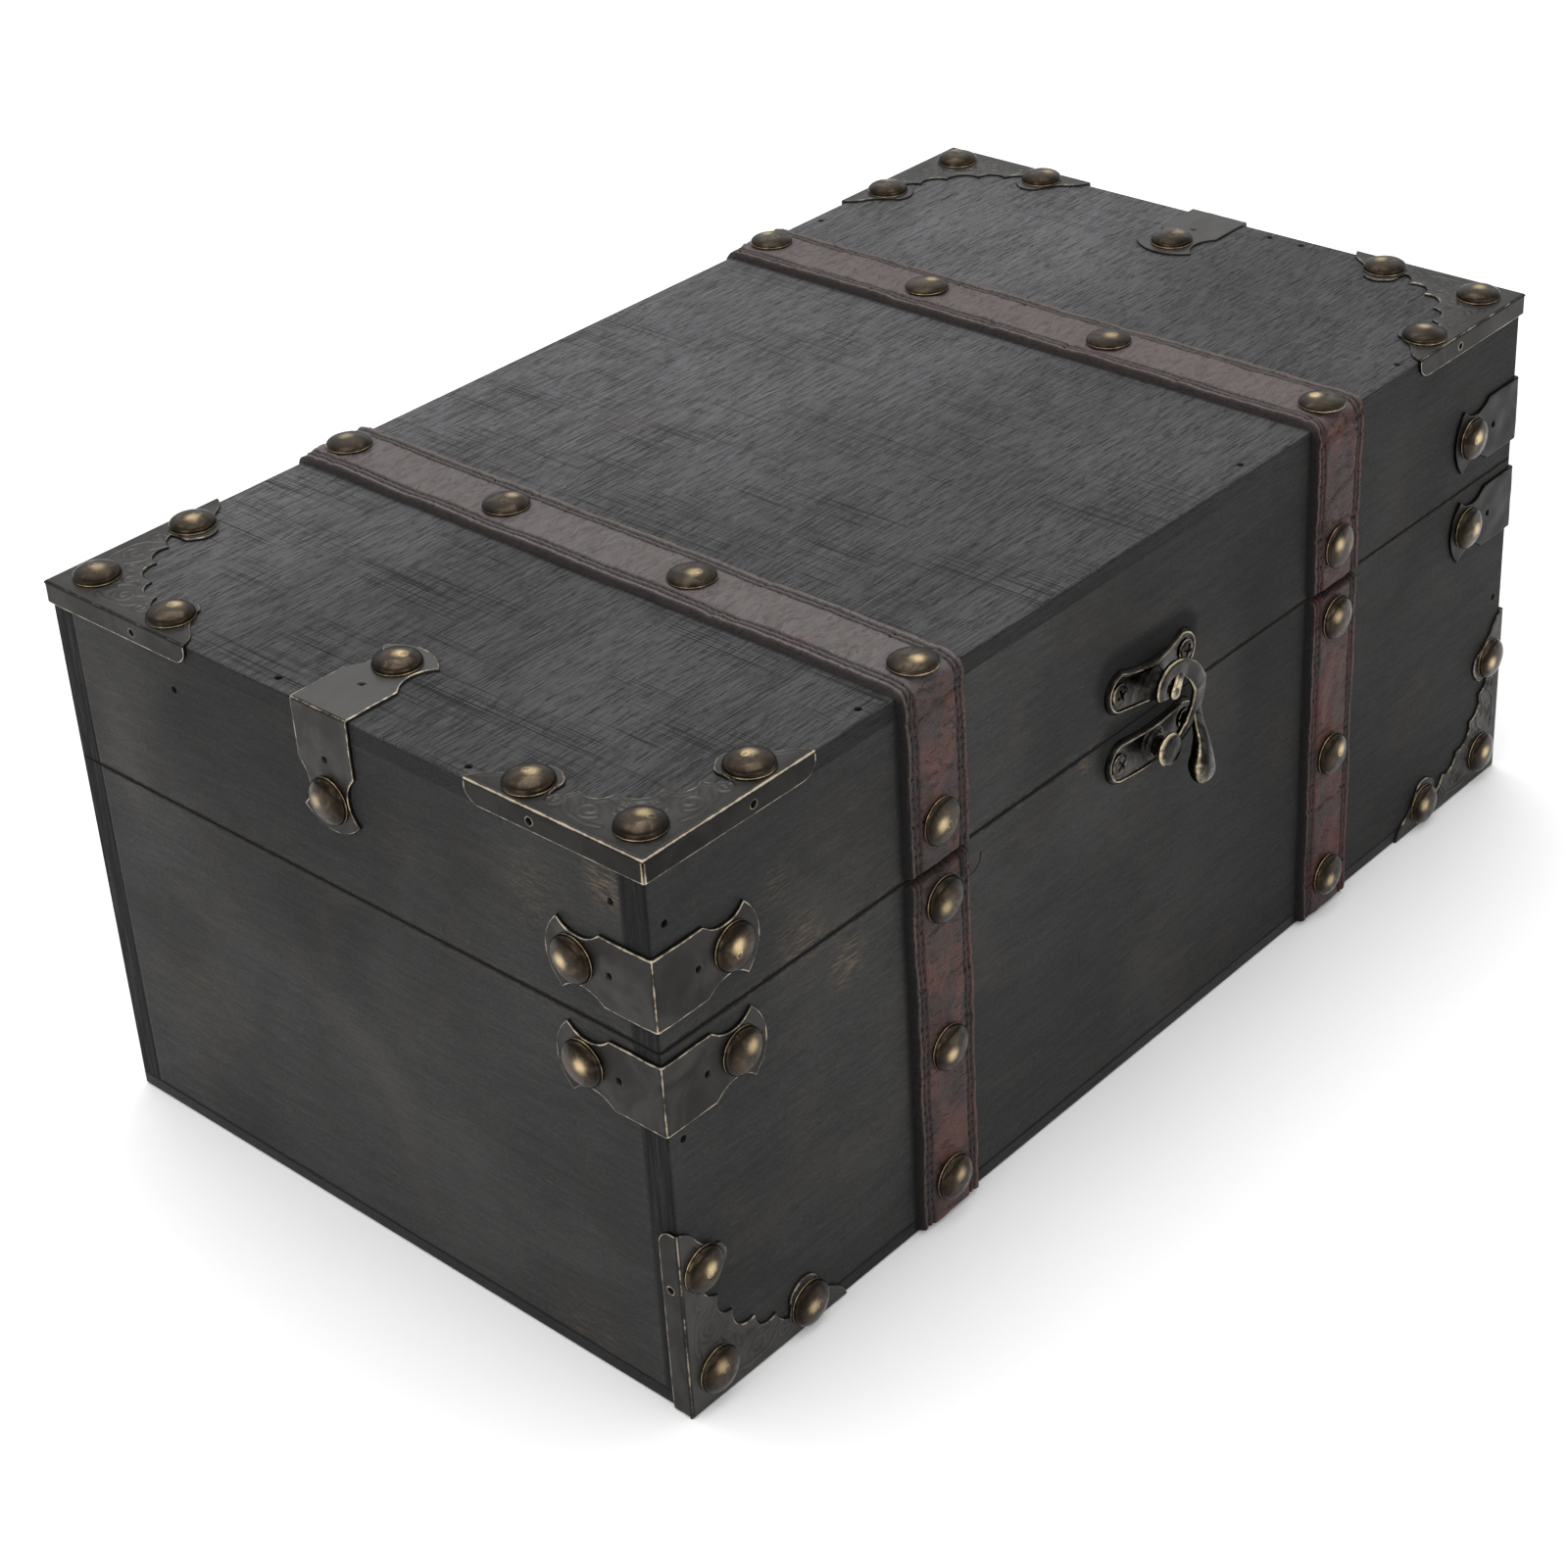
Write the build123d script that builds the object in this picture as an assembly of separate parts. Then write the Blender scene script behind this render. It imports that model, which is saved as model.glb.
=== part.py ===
from build123d import *
import os
from math import atan, degrees

# A wooden treasure chest box: a nailed case and a flat lid, hinged at the back,
# with pressed metal corners, two leather straps, domed tacks and a swing hook latch.
# Frame: origin at the centre of the wooden underside, +X along the length,
# -Y to the front with the latch, +Z up. All lengths are in millimetres.

# Wooden case and lid
box_length = 330.0
box_width = 190.0
box_height = 144.0
parting_height = 97.5
lid_gap = 0.3
wall_thickness = 7.2
floor_thickness = 4.0
top_thickness = 5.0
edge_round = 0.8
cut_overrun = 2.0

# Nails sunk into the wood
nail_radius = 0.9
nail_length = 17.0
nail_sink = 1.6
front_nail_inset = 4.4
lid_front_nail_drop = 17.0
end_pit_drop = 13.6

# Domed tacks
tack_radius = 5.45
tack_height = 3.0
tack_rim = 0.3
shank_width = 1.5
shank_tip = 0.3
shank_bite = 4.2

# Pressed sheet metal
sheet_thickness = 0.8
fold_round = 0.6
pin_hole_radius = 0.9
corner_leg = 50.0
corner_flange = 5.0
flange_end_round = 3.4
corner_slit = 0.5
corner_tack_inset = 8.0
outer_tack_along = 37.5
outer_tack_inset = 6.0
corner_pin_along = 31.0

# Angle straps with fish-tail ends
angle_leg = 30.2
angle_tack_along = 22.3
angle_pin_along = 12.0

# Leather straps
strap_width = 20.5
strap_thickness = 2.5
strap_bend_round = 4.5
strap_inset_left = 86.5
strap_inset_right = 88.0
strap_joint_gap = 1.6
strap_foot_gap = 0.8
strap_tack_rise = 11.8
strap_tack_drop = 8.5
strap_tack_foot = 11.5
strap_tack_front = 3.7
strap_tack_back = 6.4

# Hinges at the back
hinge_inset = 45.0
hinge_width = 26.0
hinge_leaf_height = 14.0
hinge_leaf_thickness = 0.8
knuckle_radius = 2.0
knuckle_standoff = 0.3
knuckle_gap = 0.3
hinge_pin_radius = 0.9
hinge_screw_inset = 5.0
hinge_screw_radius = 2.1
hinge_screw_height = 0.8
hinge_screw_shank = 1.0
hinge_screw_bite = 5.0

# Swing hook latch
latch_offset = 1.2
latch_plate_thickness = 1.2
latch_lobe_radius = 5.4
latch_lobe_along = 12.0
latch_screw_along = 13.0
hook_plate_rise = 10.8
hook_plate_dip = 3.4
hook_plate_bulge = 1.4
hook_pivot_rise = 7.7
hook_boss_height = 5.2
keeper_plate_drop = 8.1
keeper_plate_dip = 1.1
keeper_plate_bulge = 0.9
keeper_stud_drop = 8.6
keeper_boss_height = 2.4
latch_boss_radius = 4.3
latch_boss_top = 2.7
latch_screw_radius = 2.8
latch_screw_height = 0.5
latch_screw_shank = 1.2
latch_screw_bite = 5.2
screw_slot_length = 3.4
screw_slot_width = 0.7
screw_slot_depth = 0.4
rivet_radius = 1.1
rivet_head_radius = 1.5
rivet_head_height = 0.6
rivet_bite = 4.0
running_clearance = 0.05
hook_seat_gap = 0.2
hook_thickness = 1.7
hook_lug_radius = 2.0
hook_curl_round = 1.1
hook_arm_width = 2.2
thumb_radius = 3.9
thumb_rise = 4.7
thumb_lean = 25
hook_catch_gap = 0.3
keeper_neck_radius = 2.0
keeper_cap_radius = 3.9
keeper_cap_height = 2.5
keeper_cap_rim = 0.8
keeper_stud_bite = 4.0

# Places that follow the sizes above
half_length = box_length / 2
half_width = box_width / 2
base_rim = parting_height - lid_gap / 2
lid_rim = parting_height + lid_gap / 2
lid_frame_top = box_height - top_thickness
lid_side_height = box_height - parting_height - corner_flange
hinge_axis_y = half_width + knuckle_radius + knuckle_standoff
hook_span = hook_pivot_rise + keeper_stud_drop
hook_catch = hook_span + keeper_neck_radius + hook_catch_gap
hook_level = hook_boss_height + hook_seat_gap
arm_level = keeper_boss_height + hook_catch_gap

# Angle straps, as shares of the lid's side below the corner flanges and of their width
angle_width_share = 0.434
lid_angle_rise_share = 0.349
base_angle_drop_share = 0.656
angle_width = angle_width_share * lid_side_height
lid_angle_rise = lid_angle_rise_share * lid_side_height
base_angle_drop = base_angle_drop_share * angle_width

# Outlines, as shares of the size that each follows
dome_pull_share = 0.55
corner_outline_shares = (
    ((0.872, 0.152), (0.806, 0.242)),
    ((0.738, 0.276), (0.672, 0.248)),
    ((0.606, 0.222), (0.544, 0.204)),
    ((0.466, 0.206), (0.412, 0.284)),
)
corner_middle_share = 0.326
fish_tail_shares = ((0.468, 1.0), (0.52, 0.86), (0.66, 0.70), (0.868, 1.0), (0.955, 0.60))
top_nail_front_shares = (0.207, 0.628, 0.836)
top_nail_back_shares = (0.806,)
top_nail_left_shares = (0.278, 0.593)
top_nail_right_shares = (0.345, 0.398)
base_nail_left_share = 0.752
base_nail_right_share = 0.578
end_pit_shares = (0.054, 0.775)
strap_top_tack_shares = (0.357, 0.673)
base_mid_tack_share = 0.5
hook_outer_shares = (
    (-0.331, 0.061), (-0.270, 0.221), (-0.178, 0.362), (0.037, 0.442), (0.344, 0.368),
    (0.613, 0.160), (0.798, -0.135), (0.896, -0.466), (0.920, -0.736), (0.798, -0.933), (0.479, -1.117),
)
hook_inner_shares = ((0.245, -1.055), (0.356, -0.975), (0.607, -0.785), (0.635, -0.589), (0.607, -0.350),
                     (0.509, -0.135), (0.362, 0.061), (0.209, 0.166))
hook_gap_shares = ((-0.025, 0.209), (-0.135, 0.160), (-0.190, 0.025))
tail_right_shares = ((0.900, -0.620), (0.920, -0.982), (0.939, -1.166), (0.847, -1.472), (0.748, -1.626))
tail_left_shares = ((0.258, -1.510), (0.417, -1.387), (0.571, -1.227), (0.638, -1.043), (0.680, -0.660))
tail_tip_share = (0.500, -1.700)
tail_flare_shares = ((-0.52, 0.0), (-0.77, 0.0), (-1.04, 0.075), (-1.35, 0.215), (-1.75, 0.40))
hook_bend_shares = (-0.18, -0.80)
thumb_spot_share = (0.565, -1.48)
thumb_long_share = 1.18
thumb_thick_share = 0.56


def block(x_span, y_span, z_span):
    """A square block between two places on each axis."""
    sizes = [high - low for low, high in (x_span, y_span, z_span)]
    solid = Box(*sizes, align=(Align.MIN, Align.MIN, Align.MIN))
    return Pos(x_span[0], y_span[0], z_span[0]) * solid


def facing(point, outward, along):
    """A plane at a point, its normal outward and its x direction along the piece."""
    return Plane(origin=point, x_dir=along, z_dir=outward)


front_face = ((0, -1, 0), (1, 0, 0))
back_face = ((0, 1, 0), (-1, 0, 0))
left_face = ((-1, 0, 0), (0, -1, 0))
top_face = ((0, 0, 1), (1, 0, 0))


def cut_all(solid, tools):
    """A piece with every tool that pierces it taken away."""
    for tool in tools:
        solid = solid - tool
    return solid


def dome_line(radius, low, high):
    """The line of a dome, a quarter of an ellipse from its crown down to its rim."""
    shoulder = low + dome_pull_share * (high - low)
    Bezier((0, high), (dome_pull_share * radius, high), (radius, shoulder), (radius, low))


# Fasteners


def tack(plane, seat):
    """A domed tack whose head sits on a plane, over a piece as thick as seat."""
    with BuildPart() as part:
        with BuildSketch(Plane.XZ):
            with BuildLine():
                dome_line(tack_radius, tack_rim, tack_height)
                Polyline((tack_radius, tack_rim), (tack_radius, 0), (0, 0), (0, tack_height))
            make_face()
        revolve(axis=Axis.Z)
    length = seat + shank_bite
    slope = degrees(atan((shank_width - shank_tip) / 2 / length))
    shank = extrude(Plane.XY * Rectangle(shank_width, shank_width), amount=-length, taper=slope)
    return plane * (part.part + shank)


def nail(plane):
    """A plain nail sunk under the surface, with the hole that it stands in."""
    pin = Pos(0, 0, -nail_sink - nail_length / 2) * Cylinder(nail_radius, nail_length)
    depth = nail_length + nail_sink + cut_overrun
    hole = Pos(0, 0, cut_overrun - depth / 2) * Cylinder(nail_radius, depth)
    return plane * pin, plane * hole


def cheese_screw(plane, head_radius, head_height, shank_radius, length):
    """A screw with a low rounded head and a plain shank."""
    head = Pos(0, 0, head_height / 2) * Cylinder(head_radius, head_height)
    shank = Pos(0, 0, -length / 2) * Cylinder(shank_radius, length)
    return plane * (head + shank)


# Tack places, each the plane that the head sits on


def corner_tack_places(plane):
    """Three tacks on a corner bracket: one in the corner and one near each tip."""
    spots = (
        (corner_tack_inset, corner_tack_inset),
        (outer_tack_along, outer_tack_inset),
        (outer_tack_inset, outer_tack_along),
    )
    return [plane * Pos(u, v, sheet_thickness) for u, v in spots]


def angle_tack_places(plane):
    """One tack on each leg of an angle strap, near its fish-tail end."""
    one = plane * Plane(origin=(angle_tack_along, -sheet_thickness, 0), x_dir=(1, 0, 0), z_dir=(0, -1, 0))
    other = plane * Plane(origin=(-sheet_thickness, angle_tack_along, 0), x_dir=(0, 1, 0), z_dir=(-1, 0, 0))
    return [one, other]


def strap_x():
    """Centre lines of the two leather straps along the length."""
    return {"left": -half_length + strap_inset_left, "right": half_length - strap_inset_right}


def lid_strap_places(centre):
    """Tacks on a lid strap: one in front, four over the top and one behind."""
    height = parting_height + strap_tack_rise
    top = box_height + strap_thickness
    spots = [-half_width + strap_tack_front, half_width - strap_tack_back]
    spots += [-half_width + share * box_width for share in strap_top_tack_shares]
    places = [facing((centre, y, top), *top_face) for y in spots]
    places.append(facing((centre, -half_width - strap_thickness, height), *front_face))
    places.append(facing((centre, half_width + strap_thickness, height), *back_face))
    return places


def base_strap_places(centre, side):
    """Three tacks down a base strap, in front or behind."""
    face = front_face if side < 0 else back_face
    heights = (strap_tack_foot, base_mid_tack_share * parting_height, parting_height - strap_tack_drop)
    return [facing((centre, side * (half_width + strap_thickness), z), *face) for z in heights]


# Sheet metal


def corner_plate():
    """The plate of a corner bracket, scalloped between its two tips."""
    steps = [tuple((u * corner_leg, v * corner_leg) for u, v in pair) for pair in corner_outline_shares]
    middle = (corner_middle_share * corner_leg, corner_middle_share * corner_leg)
    tip = (corner_leg, 0)
    with BuildSketch() as sketch:
        with BuildLine():
            place = tip
            for through, end in steps:
                ThreePointArc(place, through, end)
                place = end
            ThreePointArc(place, middle, place[::-1])
            for index in range(len(steps) - 1, -1, -1):
                through, end = steps[index]
                before = steps[index - 1][1] if index else tip
                ThreePointArc(end[::-1], through[::-1], before[::-1])
            Polyline(tip[::-1], (0, 0), tip)
        make_face()
        edge = -sheet_thickness
        Polygon((edge, edge), (corner_leg, edge), (corner_leg, 0), (0, 0), (edge, 0), align=None)
        Polygon((edge, edge), (0, edge), (0, corner_leg), (edge, corner_leg), align=None)
    return extrude(sketch.sketch, amount=sheet_thickness)


def corner_flange_strip():
    """One flange under the plate, along +X, with a rounded end and a pin hole."""
    start = corner_slit - sheet_thickness
    strip = block((start, corner_leg), (-sheet_thickness, 0), (-corner_flange, 0))
    foot = strip.edges().filter_by(Axis.Y).sort_by(Axis.X)[-2:].sort_by(Axis.Z)[0]
    strip = fillet(foot, flange_end_round)
    hole = Cylinder(pin_hole_radius, sheet_thickness + cut_overrun)
    return strip - Pos(corner_pin_along, -sheet_thickness / 2, -corner_flange / 2) * Rot(90, 0, 0) * hole


def corner_bracket(plane, tacks):
    """A corner bracket: a plate on one face and a flange folded over each edge."""
    strip = corner_flange_strip()
    twin = mirror(strip, about=Plane(origin=(0, 0, 0), z_dir=(1, -1, 0)))
    bracket = corner_plate() + strip + twin
    middle, out, up = corner_leg / 2, -sheet_thickness, sheet_thickness
    folds = [bracket.edges().sort_by_distance(spot)[0] for spot in ((middle, out, up), (out, middle, up))]
    return cut_all(plane * fillet(folds, fold_round), tacks)


def fish_tail():
    """One leg of an angle strap, along +X from the fold, flared like a fish tail."""
    half = angle_width / 2
    points = [(s * angle_leg, h * half) for s, h in fish_tail_shares]
    step_start, step_end, neck, horn, cheek = points
    end = (angle_leg, 0)
    with BuildSketch() as sketch:
        with BuildLine():
            for side in (1, -1):
                at = [(x, side * y) for x, y in (step_start, step_end, neck, horn, cheek)]
                Polyline((-sheet_thickness, side * half), at[0], at[1])
                ThreePointArc(at[1], at[2], at[3])
                ThreePointArc(at[3], at[4], end)
            Line((-sheet_thickness, -half), (-sheet_thickness, half))
        make_face()
        with Locations((angle_pin_along, 0)):
            Circle(pin_hole_radius, mode=Mode.SUBTRACT)
    return extrude(sketch.sketch, amount=sheet_thickness)


def angle_strap(plane, tacks):
    """An angle strap folded round an edge: one leg along +X and one along +Y."""
    leg = fish_tail()
    one = Plane(origin=(0, 0, 0), x_dir=(1, 0, 0), z_dir=(0, -1, 0)) * leg
    twin = mirror(one, about=Plane(origin=(0, 0, 0), z_dir=(1, -1, 0)))
    strap = one + twin
    fold = strap.edges().sort_by_distance((-sheet_thickness, -sheet_thickness, 0))[0]
    return cut_all(plane * fillet(fold, fold_round), tacks)


# Leather


def lid_strap(centre, tacks):
    """A lid strap: up the front, over the top with rounded bends, and down the back."""
    reach = half_width + strap_thickness
    across = (centre - strap_width / 2, centre + strap_width / 2)
    wide = (centre - strap_width, centre + strap_width)
    foot = parting_height + strap_joint_gap / 2
    outer = block(across, (-reach, reach), (foot, box_height + strap_thickness))
    bends = outer.edges().filter_by(Axis.X).group_by(Axis.Z)[-1]
    outer = fillet(bends, strap_bend_round)
    inner = block(wide, (-half_width, half_width), (foot - cut_overrun, box_height))
    return cut_all(outer - inner, tacks)


def base_strap(centre, side, tacks):
    """A base strap: one flat length from the parting line down to the foot."""
    across = (centre - strap_width / 2, centre + strap_width / 2)
    depth = sorted((side * half_width, side * (half_width + strap_thickness)))
    strap = block(across, depth, (strap_foot_gap, parting_height - strap_joint_gap / 2))
    return cut_all(strap, tacks)


# Hinges


def hinge_leaf(centre, side, screws):
    """A hinge leaf on the back: side is -1 for the base leaf and 1 for the lid leaf."""
    third = hinge_width / 3
    low, high = centre - hinge_width / 2, centre + hinge_width / 2
    outer_thirds = [(low, low + third - knuckle_gap), (high - third + knuckle_gap, high)]
    middle_third = [(low + third, high - third)]
    own = outer_thirds if side < 0 else middle_third
    depth = (half_width, half_width + hinge_leaf_thickness)
    near = parting_height + side * (knuckle_radius + knuckle_gap)
    far = parting_height + side * hinge_leaf_height
    leaf = block((low, high), depth, sorted((near, far)))
    bore = hinge_pin_radius if side < 0 else hinge_pin_radius + running_clearance
    for start, end in own:
        across = Pos((start + end) / 2, hinge_axis_y, parting_height) * Rot(0, 90, 0)
        leaf = leaf + block((start, end), depth, sorted((parting_height, near)))
        leaf = leaf + across * Cylinder(knuckle_radius, end - start)
        leaf = leaf - across * Cylinder(bore, end - start + cut_overrun)
    return cut_all(leaf, screws)


def hinge_pin(centre):
    """The pin through the knuckles of one hinge."""
    return Pos(centre, hinge_axis_y, parting_height) * Rot(0, 90, 0) * Cylinder(hinge_pin_radius, hinge_width)


def hinge_screws(centre, side):
    """Two screws through one hinge leaf."""
    z = parting_height + side * (hinge_leaf_height - hinge_screw_inset)
    spread = hinge_width / 2 - hinge_screw_inset
    screws = []
    for x in (centre - spread, centre + spread):
        plane = facing((x, half_width + hinge_leaf_thickness, z), *back_face)
        length = hinge_leaf_thickness + hinge_screw_bite
        screws.append(cheese_screw(plane, hinge_screw_radius, hinge_screw_height, hinge_screw_shank, length))
    return screws


# Latch, drawn on the front face with x along the box and y up


def latch_plane(rise, depth=0.0):
    """A plane on the front face at a rise from the parting line, depth outward."""
    return facing((latch_offset, -half_width - depth, parting_height + rise), *front_face)


def latch_plate(plane, dip, bulge, boss_drop, boss_height, tools):
    """A two-lobed latch plate with a raised boss between its screws."""
    lobe, along = latch_lobe_radius, latch_lobe_along
    with BuildSketch() as sketch:
        with Locations((-along, 0), (along, 0)):
            Circle(lobe)
        with BuildLine():
            ThreePointArc((-along, lobe), (0, lobe - dip), (along, lobe))
            Line((along, lobe), (along, -lobe))
            ThreePointArc((along, -lobe), (0, -lobe - bulge), (-along, -lobe))
            Line((-along, -lobe), (-along, lobe))
        make_face()
    flat = extrude(sketch.sketch, amount=latch_plate_thickness)
    boss = Pos(0, -boss_drop, boss_height / 2) * Cone(latch_boss_radius, latch_boss_top, boss_height)
    return cut_all(plane * (flat + boss), tools)


def latch_screws(plane):
    """The two cross-slotted screws of a latch plate."""
    screws = []
    for x in (-latch_screw_along, latch_screw_along):
        seat = plane * Pos(x, 0, latch_plate_thickness)
        length = latch_plate_thickness + latch_screw_bite
        screw = cheese_screw(seat, latch_screw_radius, latch_screw_height, latch_screw_shank, length)
        for angle in (0, 90):
            slot = Rot(0, 0, angle) * Box(screw_slot_length, screw_slot_width, screw_slot_depth * 2)
            screw = screw - seat * Pos(0, 0, latch_screw_height) * slot
        screws.append(screw)
    return screws


def spread(shares):
    """Shares of the distance from the pivot to the stud, as places on the front face."""
    return [(u * hook_span, v * hook_span) for u, v in shares]


def side_band(front, back):
    """A bent sheet seen from the side, wide enough to hold the whole hook."""
    with BuildSketch(Plane.YZ) as sketch:
        with BuildLine():
            Polyline(*front, *back[::-1], front[0])
        make_face()
    return extrude(sketch.sketch, amount=2 * hook_span, both=True)


def hook_flat():
    """The front outline of the curl and the catch arm, with the pivot hole."""
    arm_bottom = -hook_catch - hook_arm_width
    arm_end = -keeper_neck_radius / 2
    outer = spread(hook_outer_shares) + [(-arm_end, arm_bottom), (arm_end, arm_bottom)]
    inner = [(arm_end, -hook_catch), (-arm_end, -hook_catch)] + spread(hook_inner_shares)
    gap = spread(hook_gap_shares)
    lug = hook_lug_radius
    arm_tip = (arm_end - hook_arm_width / 2, -hook_catch - hook_arm_width / 2)
    curl_tip = (outer[0][0] + hook_curl_round, outer[0][1] - hook_curl_round)
    with BuildSketch() as sketch:
        with BuildLine():
            Spline(*outer)
            ThreePointArc(outer[-1], arm_tip, inner[0])
            Spline(*inner)
            Spline(inner[-1], (lug, 0), (0, -lug), (-lug, 0), gap[0])
            ThreePointArc(*gap)
            ThreePointArc(gap[-1], curl_tip, outer[0])
        make_face()
        Circle(rivet_radius + running_clearance, mode=Mode.SUBTRACT)
    return extrude(sketch.sketch, amount=hook_span)


def hook_tail():
    """The front outline of the thumb tail, from the fork to its rounded end."""
    right, left = spread(tail_right_shares), spread(tail_left_shares)
    tip = spread([tail_tip_share])[0]
    with BuildSketch() as sketch:
        with BuildLine():
            Spline(*right, tip, *left)
            Line(left[-1], right[0])
        make_face()
    return extrude(sketch.sketch, amount=2 * hook_span)


def hook_thumb():
    """The rounded thumb pad at the tail's end: a flattened ball that leans with the flare."""
    x, y = spread([thumb_spot_share])[0]
    pad = scale(Sphere(thumb_radius), by=(1, thumb_long_share, thumb_thick_share))
    return Pos(x, y, arm_level + thumb_rise) * Rot(-thumb_lean, 0, 0) * pad


def latch_hook():
    """The swing hook: it steps in from the pivot to the catch, and its tail flares out."""
    high, low = [share * hook_span for share in hook_bend_shares]
    ends = (hook_span, -2 * hook_span)
    back = [(ends[0], hook_level), (high, hook_level), (low, arm_level), (ends[1], arm_level)]
    front = [(y, z + hook_thickness) for y, z in back]
    flat = hook_flat() & side_band(front, back)
    flare = spread(tail_flare_shares)
    back = [(y, arm_level + z) for y, z in flare]
    front = [(y, z + hook_thickness) for y, z in back]
    tail = hook_tail() & side_band(front, back)
    return latch_plane(hook_pivot_rise) * (flat + tail + hook_thumb())


def latch_rivet():
    """The rivet that the hook turns on: a domed head, and a shank into the lid."""
    seat = hook_level + hook_thickness + running_clearance
    top = seat + rivet_head_height
    with BuildPart() as part:
        with BuildSketch(Plane.XZ):
            with BuildLine():
                dome_line(rivet_head_radius, seat, top)
                Polyline((rivet_head_radius, seat), (rivet_radius, seat), (rivet_radius, -rivet_bite),
                         (0, -rivet_bite), (0, top))
            make_face()
        revolve(axis=Axis.Z)
    return latch_plane(hook_pivot_rise) * part.part


def keeper_stud():
    """The stud that the hook's arm catches under: a neck with a domed cap."""
    under = arm_level + hook_thickness + hook_catch_gap
    shoulder = under + keeper_cap_rim
    top = under + keeper_cap_height
    with BuildPart() as part:
        with BuildSketch(Plane.XZ):
            with BuildLine():
                dome_line(keeper_cap_radius, shoulder, top)
                Polyline((keeper_cap_radius, shoulder), (keeper_cap_radius - keeper_cap_rim, under),
                         (keeper_neck_radius, under), (keeper_neck_radius, -keeper_stud_bite),
                         (0, -keeper_stud_bite), (0, top))
            make_face()
        revolve(axis=Axis.Z)
    return latch_plane(-keeper_stud_drop) * part.part


# Wood


def rounded_case(z_low, z_high, closed_end):
    """The outer block of the base or lid, its upright edges and closed end eased."""
    solid = block((-half_length, half_length), (-half_width, half_width), (z_low, z_high))
    end = solid.edges().group_by(Axis.Z)[closed_end]
    return fillet(solid.edges().filter_by(Axis.Z) + end, edge_round)


def case_panels(prefix, outer, z_low, z_high):
    """Front and back panels of full length, with the two end panels between them."""
    inside_x = half_length - wall_thickness
    inside_y = half_width - wall_thickness
    full = (-half_length, half_length)
    between = (-inside_y, inside_y)
    height = (z_low, z_high)
    return {
        prefix + "_front_panel": outer & block(full, (-half_width, -inside_y), height),
        prefix + "_back_panel": outer & block(full, (inside_y, half_width), height),
        prefix + "_left_panel": outer & block((-half_length, -inside_x), between, height),
        prefix + "_right_panel": outer & block((inside_x, half_length), between, height),
    }


def lid_nail_planes():
    """Nails through the top into the lid's rim, and one through the front's left end."""
    x_in, y_in = half_length - wall_thickness / 2, half_width - wall_thickness / 2
    spots = [(-half_length + share * box_length, -y_in) for share in top_nail_front_shares]
    spots += [(-half_length + share * box_length, y_in) for share in top_nail_back_shares]
    spots += [(-x_in, -half_width + share * box_width) for share in top_nail_left_shares]
    spots += [(x_in, -half_width + share * box_width) for share in top_nail_right_shares]
    planes = [facing((x, y, box_height), *top_face) for x, y in spots]
    height = box_height - lid_front_nail_drop
    planes.append(facing((-half_length + front_nail_inset, -half_width, height), *front_face))
    return planes


def base_nail_planes():
    """Nails through the base's front into its end panels."""
    left = (-half_length + front_nail_inset, -half_width, base_nail_left_share * parting_height)
    right = (half_length - front_nail_inset, -half_width, base_nail_right_share * parting_height)
    return [facing(left, *front_face), facing(right, *front_face)]


def end_pits():
    """Old nail holes in the lid's left end, with no nail left in them."""
    height = box_height - end_pit_drop
    pits = []
    for share in end_pit_shares:
        plane = facing((-half_length, -half_width + share * box_width, height), *left_face)
        pits.append(plane * Cylinder(nail_radius, 2 * nail_sink))
    return pits


# Assembly

lid_corners = {
    "front_left": (-half_length, -half_width, 0),
    "front_right": (half_length, -half_width, 90),
    "back_right": (half_length, half_width, 180),
    "back_left": (-half_length, half_width, 270),
}
parts = {}

lid_tools, base_tools = [], []

# Corner brackets and their tacks
lid_corner_tacks = []
for name, (x, y, turn) in lid_corners.items():
    plane = Plane(origin=(x, y, box_height)).rotated((0, 0, turn))
    tacks = [tack(place, sheet_thickness) for place in corner_tack_places(plane)]
    parts["lid_corner_bracket_" + name] = corner_bracket(plane, tacks)
    lid_corner_tacks += tacks
parts["lid_corner_tacks"] = lid_corner_tacks
lid_tools += lid_corner_tacks

base_corner_tacks = []
for side, x, along in (("left", -half_length, (1, 0, 0)), ("right", half_length, (0, 0, 1))):
    plane = Plane(origin=(x, -half_width, sheet_thickness), x_dir=along, z_dir=(0, -1, 0))
    tacks = [tack(place, sheet_thickness) for place in corner_tack_places(plane)]
    bracket = corner_bracket(plane, tacks)
    parts["base_corner_bracket_" + side] = bracket
    base_corner_tacks += tacks
    base_tools.append(bracket)
parts["base_corner_tacks"] = base_corner_tacks
base_tools += base_corner_tacks

# Angle straps on the two front upright corners, and over the middle of each end
for prefix, height, tools in (
    ("lid", parting_height + lid_angle_rise, lid_tools),
    ("base", parting_height - base_angle_drop, base_tools),
):
    group = []
    for side, x, turn in (("left", -half_length, 0), ("right", half_length, 90)):
        plane = Plane(origin=(x, -half_width, height)).rotated((0, 0, turn))
        tacks = [tack(place, sheet_thickness) for place in angle_tack_places(plane)]
        parts[prefix + "_angle_strap_" + side] = angle_strap(plane, tacks)
        group += tacks
    parts[prefix + "_angle_tacks"] = group
    tools += group

lid_end_tacks = []
for side, x, normal in (("left", -half_length, (0, -1, 0)), ("right", half_length, (0, 1, 0))):
    plane = Plane(origin=(x, 0, box_height), x_dir=(0, 0, -1), z_dir=normal)
    tacks = [tack(place, sheet_thickness) for place in angle_tack_places(plane)]
    parts["lid_end_strap_" + side] = angle_strap(plane, tacks)
    lid_end_tacks += tacks
parts["lid_end_tacks"] = lid_end_tacks
lid_tools += lid_end_tacks

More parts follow.
